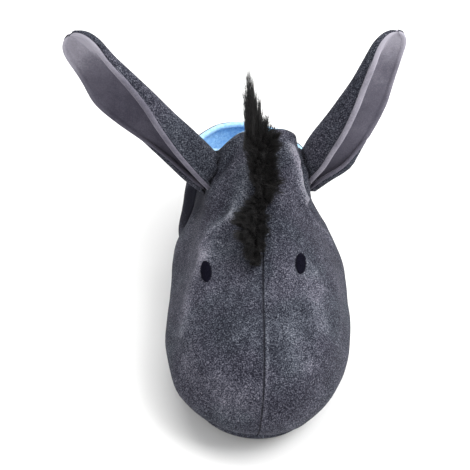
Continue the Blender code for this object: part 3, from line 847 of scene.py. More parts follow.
@dataclass
class Head:
    """The plush upper: head and quarters in one sheet, its lining and the rolled rim of the collar."""

    wardrobe: Wardrobe
    node: str = "upper"
    seed: Point = (0.0, -0.09, 0.08)
    cloth: float = 0.0014
    lining: float = 0.0011
    lining_inset: float = 0.0016
    rim_radius: float = 0.0022
    rim_curl: float = 0.0003
    rim_curl_size: float = 0.004
    seam_width: float = 0.00046
    seam_side: float = 0.0018
    seam_depth: float = 0.0006
    seam_loops: tuple[float, ...] = (-3.0, -1.6, -0.7, 0.0, 0.7, 1.6, 3.0)
    # Painted highlight: a paler strip just right of the centre seam, stronger over the muzzle.
    seam_highlight: float = 0.20
    muzzle_highlight: float = 0.60
    muzzle: float = -0.118
    muzzle_reach: float = 0.020
    puff_width: float = 0.0060
    puff: float = 0.0007
    fold_scale: float = 1.5
    side_seam_foot: float = 0.027
    side_seam_slope: float = 0.25
    notch_sides: int = 8
    notch_size: float = 0.0022
    notch_reach: float = 0.0080
    toe_smoothing: int = 6
    toe_reach: float = 0.030
    bulge_rise: float = 0.016
    bulge_top: float = 0.080
    bulge_fade: float = 0.017
    full_side: float = 0.6
    shoulder: float = 0.0026
    shoulder_height: float = 0.106
    shoulder_reach: float = 0.009
    crest_foot: float = 0.086
    crest_reach: float = 0.026
    quarter_lean: float = -0.0052
    quarter_start: float = 0.028
    quarter_length: float = 0.030
    quarter_height: float = 0.060
    seat_fade: float = 0.006
    pucker: float = 0.0007
    pucker_size: float = 0.018
    crease: float = math.radians(50)

    def build(self) -> Shell:
        """Builds the head.

        Returns:
            The outer face, for what is sewn on it.
        """
        bm = cad_copy(self.node)
        keep_sheet(bm, Vector(self.seed), self.crease)
        self._close_notch(bm)
        bm = refined(bm)
        self._round_toe(bm)
        self._lean(bm)
        self._cut_seams(bm)
        numbers = self._sculpt(bm)
        self._build_rim(bm)
        lining = bm.copy()
        outer = as_mesh("head", bm)
        for name, values in numbers.items():
            keep_number(outer, name, values)
        shell = Shell(outer)
        piece("head", outer, self.wardrobe.plush, Slot.CLOTH, self.node, wall=self.cloth)
        self._build_lining(lining)
        return shell

    def _close_notch(self, bm: BMesh) -> None:
        """Closes the small notch at the toe end of the sunk seam, and the slivers round it.

        Args:
            bm: The outer sheet.
        """
        rim = [edge for edge in bm.edges if edge.is_boundary]
        filled = bmesh.ops.holes_fill(bm, edges=rim, sides=self.notch_sides)["faces"]
        reach = self.notch_reach
        for middle in [face.calc_center_median() for face in filled]:
            near = [vert for vert in bm.verts
                    if (vert.co - middle).length < reach and abs(vert.co.x) < reach / 3]
            bmesh.ops.remove_doubles(bm, verts=near, dist=self.notch_size)
        bmesh.ops.recalc_face_normals(bm, faces=bm.faces)

    def _round_toe(self, bm: BMesh) -> None:
        """Evens out the front of the muzzle, where the sections run together.

        Args:
            bm: The outer sheet.
        """
        front = min(vert.co.y for vert in bm.verts) + self.toe_reach
        inner = [vert for vert in bm.verts if vert.co.y < front and not vert.is_boundary]
        for _ in range(self.toe_smoothing):
            bmesh.ops.smooth_vert(
                bm, verts=inner, factor=0.5, use_axis_x=True, use_axis_y=True, use_axis_z=True
            )

    def _lean(self, bm: BMesh) -> None:
        """Lets the sides bulge and the quarters lean as the stuffing pushes them.

        Args:
            bm: The outer sheet.
        """
        table = [astuple(bulge) for bulge in BULGES]
        crests = [astuple(crest) for crest in CRESTS]
        low = min(vert.co.z for vert in bm.verts)
        half = max(vert.co.x for vert in bm.verts)
        for vert in bm.verts:
            left, right = smooth_between(table, vert.co.y)
            rise = unit((vert.co.z - low) / self.bulge_rise)
            rise *= unit((self.bulge_top - vert.co.z) / self.bulge_fade)
            on_right = vert.co.x > 0
            reach = eased(abs(vert.co.x) / (self.full_side * half))
            back = eased((vert.co.y - self.quarter_start) / self.quarter_length)
            height = unit((vert.co.z - low) / self.quarter_height)
            vert.co.x += reach * rise * (right if on_right else left)
            (crest,) = smooth_between(crests, vert.co.x)
            vert.co.z += crest * eased((vert.co.z - self.crest_foot) / self.crest_reach)
            if on_right and vert.co.y > 0:
                ridge = bell((vert.co.z - self.shoulder_height) / self.shoulder_reach)
                vert.co.x += self.shoulder * ridge * reach
            vert.co.x += self.quarter_lean * back * height

    def _side_seam(self, z: np.ndarray | float) -> np.ndarray | float:
        """Distance along the slipper of the seam between head and quarter, at a height."""
        return self.side_seam_foot + self.side_seam_slope * z

    def _cut_seams(self, bm: BMesh) -> None:
        """Adds edge loops beside the seams, so that they can be narrow.

        Args:
            bm: The outer sheet.
        """
        slope = Vector((0.0, 1.0, -self.side_seam_slope)).normalized()
        foot = Vector((0.0, self.side_seam_foot, 0.0))
        for step in self.seam_loops:
            for point, normal in ((Vector(), Vector((1.0, 0.0, 0.0))), (foot, slope)):
                geometry = bm.verts[:] + bm.edges[:] + bm.faces[:]
                place = point + normal * step * self.seam_width
                bmesh.ops.bisect_plane(bm, geom=geometry, dist=WELD, plane_co=place, plane_no=normal)

    def _sculpt(self, bm: BMesh) -> dict[str, np.ndarray]:
        """Presses seams, folds and puckers into the cloth.

        Args:
            bm: The outer sheet.

        Returns:
            How much of a seam each vertex is, and how much paler or darker the cloth is painted there for
            pile tone, painted highlight and painted shade, by attribute name.
        """
        bm.normal_update()
        places = np.array([vert.co for vert in bm.verts])
        low, high = Vector(places.min(0)), Vector(places.max(0))
        base = Shell(as_mesh("base", bm.copy()))
        x, y, z = places.T
        beside = np.where(np.abs(x) > 0.5 * self.side_seam_foot, np.abs(y - self._side_seam(z)), 1.0)
        away = np.minimum(np.abs(x), beside)
        seam = bell(away / self.seam_width)
        lift = -self.seam_depth * seam - self.puff * bell(away / self.puff_width)
        # Painted highlight: a paler strip just right of the centre seam, stronger over the muzzle.
        front = bell((y - self.muzzle) / self.muzzle_reach)
        beside_seam = bell((x / self.seam_side - 1.0) / 0.6)
        rub = (self.seam_highlight + self.muzzle_highlight * front) * beside_seam
        # Each fold adds its painted highlight or painted shade to the cloth.
        for fold in FOLDS:
            near = fold.shape(places, low, high, base)
            lift = lift - self.fold_scale * fold.depth * near
            rub = rub + fold.rub * near
        puckers = [noise.noise(Vector(place) / self.pucker_size) for place in places]
        lift = lift + self.pucker * np.array(puckers)
        held = np.clip((z - low.z) / self.seat_fade, 0, 1)
        for vert, push in zip(bm.verts, lift * held):
            vert.co += vert.normal * push
        return {"seam": seam, "rub": rub}

    def _rim_loop(self, bm: BMesh) -> list[bmesh.types.BMVert]:
        """The vertices of the collar's edge, in order.

        Args:
            bm: The outer sheet.

        Returns:
            The vertices.
        """
        open_edges = [edge for edge in bm.edges if edge.is_boundary]
        top = max((vert for edge in open_edges for vert in edge.verts), key=lambda vert: vert.co.z)
        loop = [top]
        previous = None
        while True:
            here = loop[-1]
            nexts = [edge.other_vert(here) for edge in here.link_edges if edge.is_boundary]
            onward = next(vert for vert in nexts if vert is not previous)
            if onward is top:
                return loop
            previous = here
            loop.append(onward)

    def _build_rim(self, bm: BMesh) -> None:
        """Rolls the pale fleece over the collar's edge.

        Args:
            bm: The outer sheet.
        """
        bm.normal_update()
        loop = self._rim_loop(bm)
        points = []
        for before, vert, after in zip(loop[-1:] + loop[:-1], loop, loop[1:] + loop[:1]):
            run = (after.co - before.co).normalized()
            middles = [face.calc_center_median() for face in vert.link_faces]
            out = vert.co - sum(middles, Vector()) / len(middles)
            out = (out - run * out.dot(run) - vert.normal * out.dot(vert.normal)).normalized()
            inward = vert.normal * (self.cloth + 0.6 * self.rim_radius)
            points.append(vert.co - inward - out * self.rim_radius * 0.3)
        for _ in range(3):
            neighbours = zip(points[-1:] + points[:-1], points, points[1:] + points[:1])
            points = [(before + point * 2 + after) / 4 for before, point, after in neighbours]
        curve = bpy.data.curves.new("rim", "CURVE")
        curve.dimensions = "3D"
        curve.bevel_depth = self.rim_radius
        curve.bevel_resolution = 4
        spline = curve.splines.new("POLY")
        spline.points.add(len(points) - 1)
        for target, point in zip(spline.points, points):
            target.co = (*point, 1.0)
        spline.use_cyclic_u = True
        holder = bpy.data.objects.new("rim", curve)
        mesh = bpy.data.meshes.new_from_object(holder)
        bpy.data.objects.remove(holder)
        for vert in mesh.vertices:
            vert.co += vert.normal * self.rim_curl * noise.noise(vert.co / self.rim_curl_size)
        mesh.shade_smooth()
        piece("collar_rim", mesh, self.wardrobe.rim, Slot.LINING, "collar_piping")

    def _build_lining(self, bm: BMesh) -> None:
        """Lays the blue fleece inside the cloth.

        Args:
            bm: A copy of the outer sheet, which is used up.
        """
        bm.normal_update()
        toe = min(vert.co.y for vert in bm.verts)
        core = Vector((0.0, toe + 2 * self.toe_reach, 1.2 * self.toe_reach))
        inward = []
        for vert in bm.verts:
            near = unit((toe + 0.6 * self.toe_reach - vert.co.y) / (0.3 * self.toe_reach))
            way = (-vert.normal).lerp((core - vert.co).normalized() * 1.5, near)
            inward.append(vert.co + way * self.lining_inset)
        for vert, place in zip(bm.verts, inward):
            vert.co = place
        piece("lining", as_mesh("lining", bm), self.wardrobe.lining, Slot.LINING, wall=self.lining)


# Ears


@dataclass(frozen=True)
class EarRow:
    """One section of an ear across its length, in metres.

    The flap lies shift inward of the ear's spine and is flat and half wide to both sides. Its inner edge
    is folded over it: lip is how far from the flap's middle that edge comes to lie, and height how far
    it stands over the flap. slope is how far the flap falls back to its free edge, cup how far that edge
    is turned up, and the last number how pale the velour is painted: painted shade, deeper on the left
    ear, with painted highlight towards the tip.
    """

    along: float
    shift: float
    half: float
    lip: float
    height: float
    slope: float
    cup: float
    nap: float


@dataclass(frozen=True)
class EarPose:
    """How an ear stands on the head, in degrees and shares, as seen from the front."""

    name: str
    side: int
    root: Point
    lean: float
    back: float
    turn: float
    droop: float
    length: float
    rows: tuple[EarRow, ...]


# The rows' last number is painted light: lower on the left ear as painted shade, rising to a painted
# highlight at the tip.
EAR_POSES = (
    EarPose("ear_left", -1, (-0.0310, 0.0315, 0.0960), 45.5, 10.0, -20.0, 0.09, 0.1275, (
        EarRow(-0.06, -0.0043, 0.0110, -0.0045, 0.0080, 0.003, 0.0040, 0.05),
        EarRow(0.08, -0.0046, 0.0134, -0.0040, 0.0090, 0.004, 0.0045, 0.12),
        EarRow(0.25, -0.0050, 0.0140, -0.0019, 0.0095, 0.007, 0.0035, 0.14),
        EarRow(0.40, -0.0057, 0.0142, 0.0022, 0.0090, 0.010, 0.0010, 0.14),
        EarRow(0.55, -0.0065, 0.0157, 0.0079, 0.0075, 0.013, 0.0, 0.12),
        EarRow(0.68, -0.0063, 0.0159, 0.0104, 0.0055, 0.014, 0.0, 0.18),
        EarRow(0.80, -0.0030, 0.0132, 0.0093, 0.0042, 0.013, 0.0, 0.40),
        EarRow(0.90, 0.0000, 0.0122, 0.0095, 0.0036, 0.012, 0.0, 0.72),
        EarRow(1.00, 0.0018, 0.0125, 0.0105, 0.0030, 0.011, 0.0, 0.90),
    )),
    EarPose("ear_right", 1, (0.0312, 0.0380, 0.0918), 18.0, 1.0, -14.0, 0.06, 0.1235, (
        EarRow(-0.06, -0.0030, 0.0090, -0.0010, 0.0085, 0.003, 0.0060, 0.15),
        EarRow(0.06, -0.0047, 0.0137, 0.0005, 0.0105, 0.004, 0.0070, 0.25),
        EarRow(0.17, -0.0085, 0.0170, 0.0020, 0.0115, 0.006, 0.0060, 0.34),
        EarRow(0.27, -0.0091, 0.0175, 0.0024, 0.0115, 0.009, 0.0025, 0.38),
        EarRow(0.43, -0.0097, 0.0160, 0.0030, 0.0110, 0.012, 0.0, 0.40),
        EarRow(0.58, -0.0092, 0.0144, 0.0046, 0.0090, 0.013, 0.0, 0.42),
        EarRow(0.68, -0.0076, 0.0125, 0.0055, 0.0070, 0.013, 0.0, 0.46),
        EarRow(0.80, -0.0048, 0.0108, 0.0058, 0.0055, 0.012, 0.0, 0.52),
        EarRow(0.90, -0.0024, 0.0096, 0.0066, 0.0042, 0.011, 0.0, 0.80),
        EarRow(1.00, -0.0010, 0.0094, 0.0082, 0.0032, 0.010, 0.0, 1.05),
    )),
)


@dataclass
class Ear:
    """An ear of two cloths with thin wadding: a heathered back, and velour that rolls over the edge."""

    wardrobe: Wardrobe
    pose: EarPose
    thickness: float = 0.0034
    edge_roll: float = 0.45
    sag: float = 0.0022
    curl: float = 0.0004
    full_cup: float = 0.0060
    # Painted highlight on the lips and edges, painted shade in the hollow towards the root.
    lip_highlight: float = 0.34
    edge_highlight: float = 0.10
    hollow_shade: float = 0.50
    hollow_length: float = 0.65
    hollow_middle: float = 0.25
    hollow_width: float = 0.30
    tip_reach: float = 0.13
    tip_power: float = 2.3
    tip_left: float = 0.14
    roll_start: float = 0.80
    roll_width: float = 0.15
    lip_start: float = 0.90
    lip_fade: float = 0.06
    lip_widens: float = 0.45
    lip_spread: float = 1.20
    start: float = -0.05
    rows: int = 46
    columns: int = 44
    wrap_steps: int = 6
    wrap_angle: float = math.radians(170)
    cloth: float = 0.0009
    sunk: float = 0.0015
    reach: float = 0.130

    def build(self, shell: Shell) -> None:
        """Builds the ear's two cloths and seats them on the head.

        Args:
            shell: The head.
        """
        place = self._place()
        middle = [[self._middle(along, across) for across in self._across()] for along in self._stops()]
        parts = (("back", -1, self.wardrobe.plush), ("lining", 1, self.wardrobe.velour))
        for part, face, finish in parts:
            bm, painted_light_values = self._sheet(middle, face)
            bmesh.ops.transform(bm, matrix=place, verts=bm.verts)
            kept = self._seat(bm, shell)
            name = f"{self.pose.name}_{part}"
            mesh = as_mesh(name, bm)
            # Painted light and shade of the velour, kept on the mesh.
            keep_number(mesh, "nap", [painted_light_values[i] for i in kept])
            stands_for = (self.pose.name,) if part == "back" else ()
            piece(name, mesh, finish, Slot.CLOTH, *stands_for, wall=self.cloth)

    def _place(self) -> Matrix:
        """Matrix that stands the ear at its root, leaning and turned as posed.

        Returns:
            The matrix.
        """
        pose = self.pose
        lean = math.radians(pose.lean)
        back = math.radians(pose.back)
        axis = Vector((pose.side * math.sin(lean), math.sin(back), math.cos(lean) * math.cos(back)))
        axis.normalize()
        front = Vector((0.0, -1.0, 0.0))
        front = (front - axis * front.dot(axis)).normalized()
        mouth = Matrix.Rotation(math.radians(pose.turn) * pose.side, 3, axis) @ front
        turn = Matrix((mouth, axis.cross(mouth), axis)).transposed()
        return Matrix.Translation(Vector(pose.root)) @ turn.to_4x4()

    def _stops(self) -> list[float]:
        """Places along the ear, closer together towards the round tip."""
        turns = [math.pi / 2 * i / self.rows for i in range(self.rows + 1)]
        return [self.start + (1 - self.start) * math.sin(turn) for turn in turns]

    def _across(self) -> list[float]:
        """Places across the ear, from -1 to 1."""
        return [2 * j / self.columns - 1 for j in range(self.columns + 1)]

    def _closing(self, along: float) -> float:
        """How much of its width the ear still has at a place, for its round tip."""
        rest = 1 - unit((1 - along) / self.tip_reach)
        return (1 - rest**self.tip_power) ** (1 / self.tip_power)

    def _numbers(self, along: float) -> list[float]:
        """The ear's numbers at a place along it."""
        return smooth_between([astuple(row) for row in self.pose.rows], along)

    def _middle(self, along: float, across: float) -> Vector:
        """A point between the two cloths: X to the mouth, Y across, Z along the ear.

        Args:
            along: Share of the ear's length.
            across: Place across, from -1 to 1.

        Returns:
            The point, before the ear is placed.
        """
        shift, half, lip, height, slope, cup, _ = self._numbers(along)
        turned = half - lip
        bent = min(cup / self.full_cup, 1.0)
        profile = (
            (-1.00, -half + 0.7 * cup, self.curl + 0.9 * cup - slope),
            (-0.90, -(0.93 + 0.05 * bent) * half, 0.25 * self.curl + 0.45 * cup - 0.96 * slope),
            (-0.78, -(0.82 + 0.13 * bent) * half, -0.92 * slope - 0.3 * self.sag),
            (-0.50, -0.50 * half, -0.76 * slope - 0.8 * self.sag),
            (-0.20, 0.0, -0.52 * slope - 1.3 * self.sag),
            (0.12, 0.50 * half, -0.26 * slope - self.sag),
            (0.34, 0.90 * half, -0.05 * slope - 0.3 * self.sag),
            (0.48, half, 0.25 * height),
            (0.62, half - 0.18 * turned, 0.68 * height),
            (0.80, lip + 0.45 * turned, 0.96 * height),
            (0.92, lip + 0.12 * turned, 1.02 * height),
            (1.00, lip, 1.14 * height),
        )
        inward, out = smooth_between(profile, -self.pose.side * across)
        closing = self._closing(along)
        centre = -0.5 * slope
        out = centre + (out - centre) * closing
        droop = self._place().to_3x3().transposed() @ Vector((self.pose.side * self.pose.droop, 0.0, 0.0))
        spine = droop * self.pose.length * along * along
        return spine + Vector((out, -self.pose.side * (shift + inward * closing), along * self.pose.length))

    def _sheet(self, middle: list[list[Vector]], face: int) -> tuple[BMesh, list[float]]:
        """One cloth of the ear.

        Args:
            middle: Points between the two cloths, a row for each place along.
            face: 1 for the velour on the mouth's side and -1 for the back.

        Returns:
            The mesh and how pale the velour is painted at each vertex, for painted light and shade.
        """
        wraps = self.wrap_steps if face > 0 else 0
        columns = self.columns + 2 * wraps
        last = self.rows
        bm = bmesh.new()
        bmesh.ops.create_grid(bm, x_segments=columns, y_segments=last, size=1.0)
        order = sorted(bm.verts, key=lambda vert: (round(vert.co.y, 6), round(vert.co.x, 6)))
        bm.verts.index_update()
        painted_light_values = [0.0] * len(order)
        for i, along in enumerate(self._stops()):
            thick = self.thickness / 2 * math.sqrt(max(self._closing(along), self.tip_left))
            for k in range(columns + 1):
                j = min(max(k - wraps, 0), self.columns)
                run = middle[min(i + 1, last)][j] - middle[max(i - 1, 0)][j]
                across = middle[i][min(j + 1, self.columns)] - middle[i][max(j - 1, 0)]
                inward = -self.pose.side * (2 * j / self.columns - 1)
                push = UP
                if i < last:
                    normal = across.cross(run).normalized()
                    out = (across - run * (across.dot(run) / run.length_squared)).normalized()
                    over = max(wraps - k, k - wraps - self.columns, 0)
                    angle = self.wrap_angle * over / max(wraps, 1)
                    to_edge = out if 2 * k > columns else -out
                    push = normal * math.cos(angle) * face + to_edge * math.sin(angle)
                roll = 1 + self.edge_roll * unit((inward - self.roll_start) / self.roll_width)
                vert = order[i * (columns + 1) + k]
                vert.co = middle[i][j] + push * thick * roll
                painted_light_values[vert.index] = self._painted_light(along, inward)
        if face < 0:
            bmesh.ops.reverse_faces(bm, faces=bm.faces)
        return bm, painted_light_values

    def _painted_light(self, along: float, inward: float) -> float:
        """Painted highlight on the velour's lip, widening to the tip, and painted shade deep in the hollow.

        Args:
            along: Share of the ear's length.
            inward: Place across, 1 at the folded edge.

        Returns:
            The number.
        """
        wide = 0.0
        paler = self.edge_highlight
        if inward > 0:
            wide = self.lip_spread * max(along - self.lip_widens, 0.0) / (1 - self.lip_widens)
            paler = self.lip_highlight
        band = unit((abs(inward) - self.lip_start + wide) / (self.lip_fade + 0.10 * wide))
        # Painted shade in the hollow under the folded lip, towards the root.
        hollow = self.hollow_shade * max(1 - along / self.hollow_length, 0.0)
        deep = bell((inward - self.hollow_middle) / self.hollow_width)
        return self._numbers(along)[-1] - hollow * deep + paler * band

    def _seat(self, bm: BMesh, shell: Shell) -> list[int]:
        """Cuts away what lies under the head's cloth.

        Args:
            bm: One cloth of the ear, in place.
            shell: The head.

        Returns:
            The numbers of the vertices that are left.
        """
        bm.verts.index_update()
        hidden = [vert for vert in bm.verts if vert.co.z < self.reach and shell.height(vert.co) < -self.sunk]
        gone = {vert.index for vert in hidden}
        kept = [vert.index for vert in bm.verts if vert.index not in gone]
        bmesh.ops.delete(bm, geom=hidden, context="VERTS")
        bare = [vert for vert in bm.verts if not vert.link_faces]
        kept = [number for number, vert in zip(kept, bm.verts) if vert.link_faces]
        bmesh.ops.delete(bm, geom=bare, context="VERTS")
        return kept


# Mane


@dataclass(frozen=True)
class Lock:
    """A stretch of the mane's hair.

    centre and spread are the roots' place and half width across, height how far the hair stands off
    the head, lean how far its tips fall to the right and forward how far they fall to the toe, all in
    metres. along is a share of the mane from its lower end.
    """

    along: float
    centre: float
    spread: float
    height: float
    lean: float
    forward: float


LOCKS = tuple(Lock(*row) for row in (
    (0.0, -0.0052, 0.0012, 0.0065, -0.0015, 0.006), (0.12, -0.0062, 0.0036, 0.0095, -0.002, 0.007),
    (0.22, -0.0064, 0.0048, 0.0115, -0.0022, 0.006), (0.38, -0.0056, 0.0048, 0.012, -0.0022, 0.005),
    (0.5, -0.0026, 0.0048, 0.012, -0.0008, 0.004), (0.6, 0.001, 0.0064, 0.014, 0.0066, 0.0056),
    (0.7, -0.001, 0.0068, 0.0135, 0.0018, 0.004), (0.85, -0.0018, 0.0076, 0.014, 0.0002, 0.003),
    (1.0, -0.0018, 0.0078, 0.014, 0.0016, 0.0005),
))


@dataclass(frozen=True)
class Tuft:
    """A tall tuft of the forelock: roots, tip and width in metres from the end of the mane."""

    foot: float
    tip: float
    height: float
    width: float
    back: float = 0.0


TUFTS = tuple(Tuft(*row) for row in (
    (-0.0096, -0.016, 0.059, 0.0024), (-0.01, -0.0162, 0.043, 0.0026, 0.002),
    (-0.0088, -0.0136, 0.052, 0.0026, 0.003), (-0.0078, -0.0106, 0.042, 0.0028),
    (-0.0055, -0.0068, 0.036, 0.0024, 0.004), (-0.0034, -0.004, 0.027, 0.0026),
    (-0.0008, 0.0, 0.024, 0.0024, 0.002), (0.0018, 0.004, 0.017, 0.0028),
    (0.0048, 0.0078, 0.012, 0.0026, 0.001), (-0.0086, -0.0128, 0.036, 0.0028, 0.005),
))


@dataclass
class Mane:
    """The strip of long black fur on the midline, with its forelock."""

    wardrobe: Wardrobe
    front: float = -0.0510
    rear: float = 0.0290
    clumps: int = 150
    strands: int = 36
    tuft_strands: int = 170
    stray_strands: int = 260
    root_radius: float = 0.00026
    clump_radius: float = 0.0019
    segments: int = 4
    clump_height: tuple[float, float] = (0.85, 1.25)
    stray_height: tuple[float, float] = (0.85, 1.6)
    clump_loose: float = 0.0006
    stray_loose: float = 0.0011
    tuft_loose: float = 0.0013
    root_depth: float = 0.0008
    core_depth: float = 0.0005
    core_share: float = 0.62
    core_lump: float = 0.003
    core_stops: int = 40
    core_turns: int = 14
    seed: int = 7

    def build(self, shell: Shell) -> None:
        """Builds the core of packed pile and the hair on it.

        Args:
            shell: The head.
        """
        rng = random.Random(self.seed)
        paths = self._strip(shell, rng) + self._forelock(shell, rng)
        piece("mane_hair", self._hair("mane_hair", paths), self.wardrobe.fur, Slot.FUR, "mane")
        piece("mane_core", self._core(shell), self.wardrobe.fur, Slot.FUR)

    def _row(self, along: float) -> list[float]:
        """The mane's numbers at a share of its length."""
        return smooth_between([astuple(lock) for lock in LOCKS], along)

    def _strand(
        self, root: Vector, tip: Vector, rise: Vector, rng: random.Random, loose: float
    ) -> list[Vector]:
        """Points along one hair that leaves the cloth upright and bends to its tip.

        Args:
            root: Where it starts.
            tip: Where it would end.
            rise: Its first direction.
            rng: The order of chance.
            loose: How far its tip strays, in metres.

        Returns:
            The points.
        """
        ragged = Vector((rng.gauss(0, 1), rng.gauss(0, 1), rng.gauss(0, 1))) * loose
        elbow = root + rise * (tip - root).length * 0.5
        shares = [step / self.segments for step in range(self.segments + 1)]
        return [root * (1 - t) ** 2 + elbow * 2 * t * (1 - t) + (tip + ragged) * t * t for t in shares]

    def _strip(self, shell: Shell, rng: random.Random) -> Strands:
        """Hair of the strip, in clumps that share a tip, with some that stand out.

        Args:
            shell: The head.
            rng: The order of chance.

        Returns:
            Points along each hair.
        """
        paths = []
        for index in range(self.clumps + self.stray_strands):
            stray = index >= self.clumps
            along = rng.random() if stray else (index + rng.random()) / self.clumps
            centre, spread, height, lean, forward = self._row(along)
            across = rng.uniform(-1, 1)
            y = self.front + (self.rear - self.front) * along
            middle, normal = shell.under(centre + across * spread, y)
            tall = height * rng.uniform(*(self.stray_height if stray else self.clump_height))
            sway = across * spread * 0.9 + lean
            tip = middle + normal * tall + Vector((sway, -forward, 0.0)) * rng.uniform(0.7, 1.3)
            for _ in range(1 if stray else self.strands):
                spot_x = middle.x + rng.gauss(0, 1) * self.clump_radius * 0.6
                spot_y = min(max(middle.y + rng.gauss(0, 1) * self.clump_radius, self.front), self.rear)
                root, rise = shell.under(spot_x, spot_y)
                drift = (root - middle) * 0.35
                short = rng.uniform(0.72, 1.0)
                end = root.lerp(tip + drift, short)
                foot = root - rise * self.root_depth
                loose = self.stray_loose if stray else self.clump_loose
                paths.append(self._strand(foot, end, rise, rng, loose))
        return paths

    def _forelock(self, shell: Shell, rng: random.Random) -> Strands:
        """The tall tufts over the collar's front edge.

        Args:
            shell: The head.
            rng: The order of chance.

        Returns:
            Points along each hair.
        """
        paths = []
        for tuft in TUFTS:
            foot, _ = shell.under(tuft.foot, self.rear - tuft.width)
            tip = foot + Vector((tuft.tip - tuft.foot, tuft.back, tuft.height))
            for _ in range(self.tuft_strands):
                spot_x = tuft.foot + rng.gauss(0, 0.6) * tuft.width
                spot_y = min(foot.y + rng.gauss(0, 0.6) * tuft.width, self.rear)
                root, rise = shell.under(spot_x, spot_y)
                drift = (root - foot) * 0.45
                end = root.lerp(tip + drift, rng.uniform(0.50, 1.05))
                start = root - rise * self.root_depth
                paths.append(self._strand(start, end, UP, rng, self.tuft_loose))
        return paths

    def _hair(self, name: str, paths: Strands) -> Mesh:
        """Three-sided tapering strands along all paths, as one mesh.

        Args:
            name: Name of the mesh.
            paths: Points along each hair.

        Returns:
            The mesh.
        """
        line = np.array(paths)
        count, stops, _ = line.shape
        run = np.gradient(line, axis=1)
        run /= np.linalg.norm(run, axis=2, keepdims=True) + 1e-12
        side = np.cross(run, np.array((0.31, 0.87, 0.38)))
        side /= np.linalg.norm(side, axis=2, keepdims=True) + 1e-12
        other = np.cross(run, side)
        taper = self.root_radius * (1 - 0.85 * np.linspace(0, 1, stops) ** 1.5)
        turns = (0, 2 * math.pi / 3, 4 * math.pi / 3)
        corners = [
            line + (side * math.cos(turn) + other * math.sin(turn)) * taper[None, :, None] for turn in turns
        ]
        verts = np.stack(corners, axis=2).reshape(-1, 3)
        start = (np.arange(count) * stops * 3)[:, None, None]
        ring = start + (np.arange(stops - 1) * 3)[None, :, None]
        corner = np.arange(3)[None, None, :]
        onward = (corner + 1) % 3
        around = (ring + corner, ring + onward, ring + 3 + onward, ring + 3 + corner)
        quads = np.stack(np.broadcast_arrays(*around), axis=-1).reshape(-1, 4)
        ends = (start[:, :, 0] + (stops - 1) * 3 + np.arange(3)[None, :]).reshape(-1, 3)
        feet = (start[:, :, 0] + np.arange(3)[None, ::-1]).reshape(-1, 3)
        mesh = bpy.data.meshes.new(name)
        mesh.from_pydata(verts.tolist(), [], quads.tolist() + ends.tolist() + feet.tolist())
        mesh.shade_smooth()
        return mesh

    def _core(self, shell: Shell) -> Mesh:
        """Dense pile at the roots, a low rounded ridge under the hair.

        Args:
            shell: The head.

        Returns:
            The mesh.
        """
        bm = bmesh.new()
        bmesh.ops.create_grid(bm, x_segments=self.core_turns, y_segments=self.core_stops, size=1.0)
        for vert in bm.verts:
            along = (vert.co.y + 1) / 2
            across = vert.co.x
            centre, spread, height, lean, _ = self._row(along)
            x = centre + across * spread * 0.95
            y = self.front + (self.rear - self.front) * along
            root, rise = shell.under(x, y)
            ends = min(1.0, 8 * along, 8 * (1 - along) + 0.4)
            arch = math.sqrt(max(1 - across * across, 0.0)) * ends
            lumps = 0.9 + 0.25 * noise.noise(Vector((x, y, 0)) / self.core_lump)
            bulk = self.core_share * height * arch * lumps
            vert.co = root + rise * (bulk - self.core_depth) + Vector((lean * 0.5 * arch, 0, 0))
        return as_mesh("mane_core", bm)


# Eyes


@dataclass
class Eye:
    """A satin stitched oval eye, one flat stitch beside the other."""

    wardrobe: Wardrobe
    node: str
    width: float = 0.0086
    height: float = 0.0158
    stitches: int = 32
    relief: float = 0.0011
    rise: float = 0.0
    ply: tuple[float, float] = (0.66, 0.8)

    def build(self, shell: Shell) -> None:
        """Builds the eye on the head's cloth.

        Args:
            shell: The head.
        """
        low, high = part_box(self.node)
        centre, normal = shell.nearest((low + high) / 2 + Vector((0.0, self.rise, 0.4 * self.rise)))
        tall = Vector((0.0, 1.0, 0.0))
        tall = (tall - normal * tall.dot(normal)).normalized()
        across = tall.cross(normal)
        bm = bmesh.new()
        pitch = self.height / self.stitches
        for index in range(self.stitches):
            up = (index + 0.5) * pitch - self.height / 2
            half = self.width / 2 * math.sqrt(1 - (2 * up / self.height) ** 2)
            size = Matrix.Diagonal((half, pitch * self.ply[0], pitch * self.ply[1], 1.0))
            shape = Matrix.Translation((0.0, up, 0.0)) @ size
            bmesh.ops.create_uvsphere(bm, u_segments=8, v_segments=8, radius=1.0, matrix=shape)
        for vert in bm.verts:
            x, y, z = vert.co
            from_middle = min(math.hypot(2 * x / self.width, 2 * y / self.height), 1.0)
            dome = self.relief * math.sqrt(1 - from_middle**2 * 0.9)
            foot, rise = shell.nearest(centre + across * x + tall * y)
            vert.co = foot + rise * (dome + z)
        piece(f"{self.node}_stitches", as_mesh(self.node, bm), self.wardrobe.thread, Slot.THREAD, self.node)


# Sole and footbed


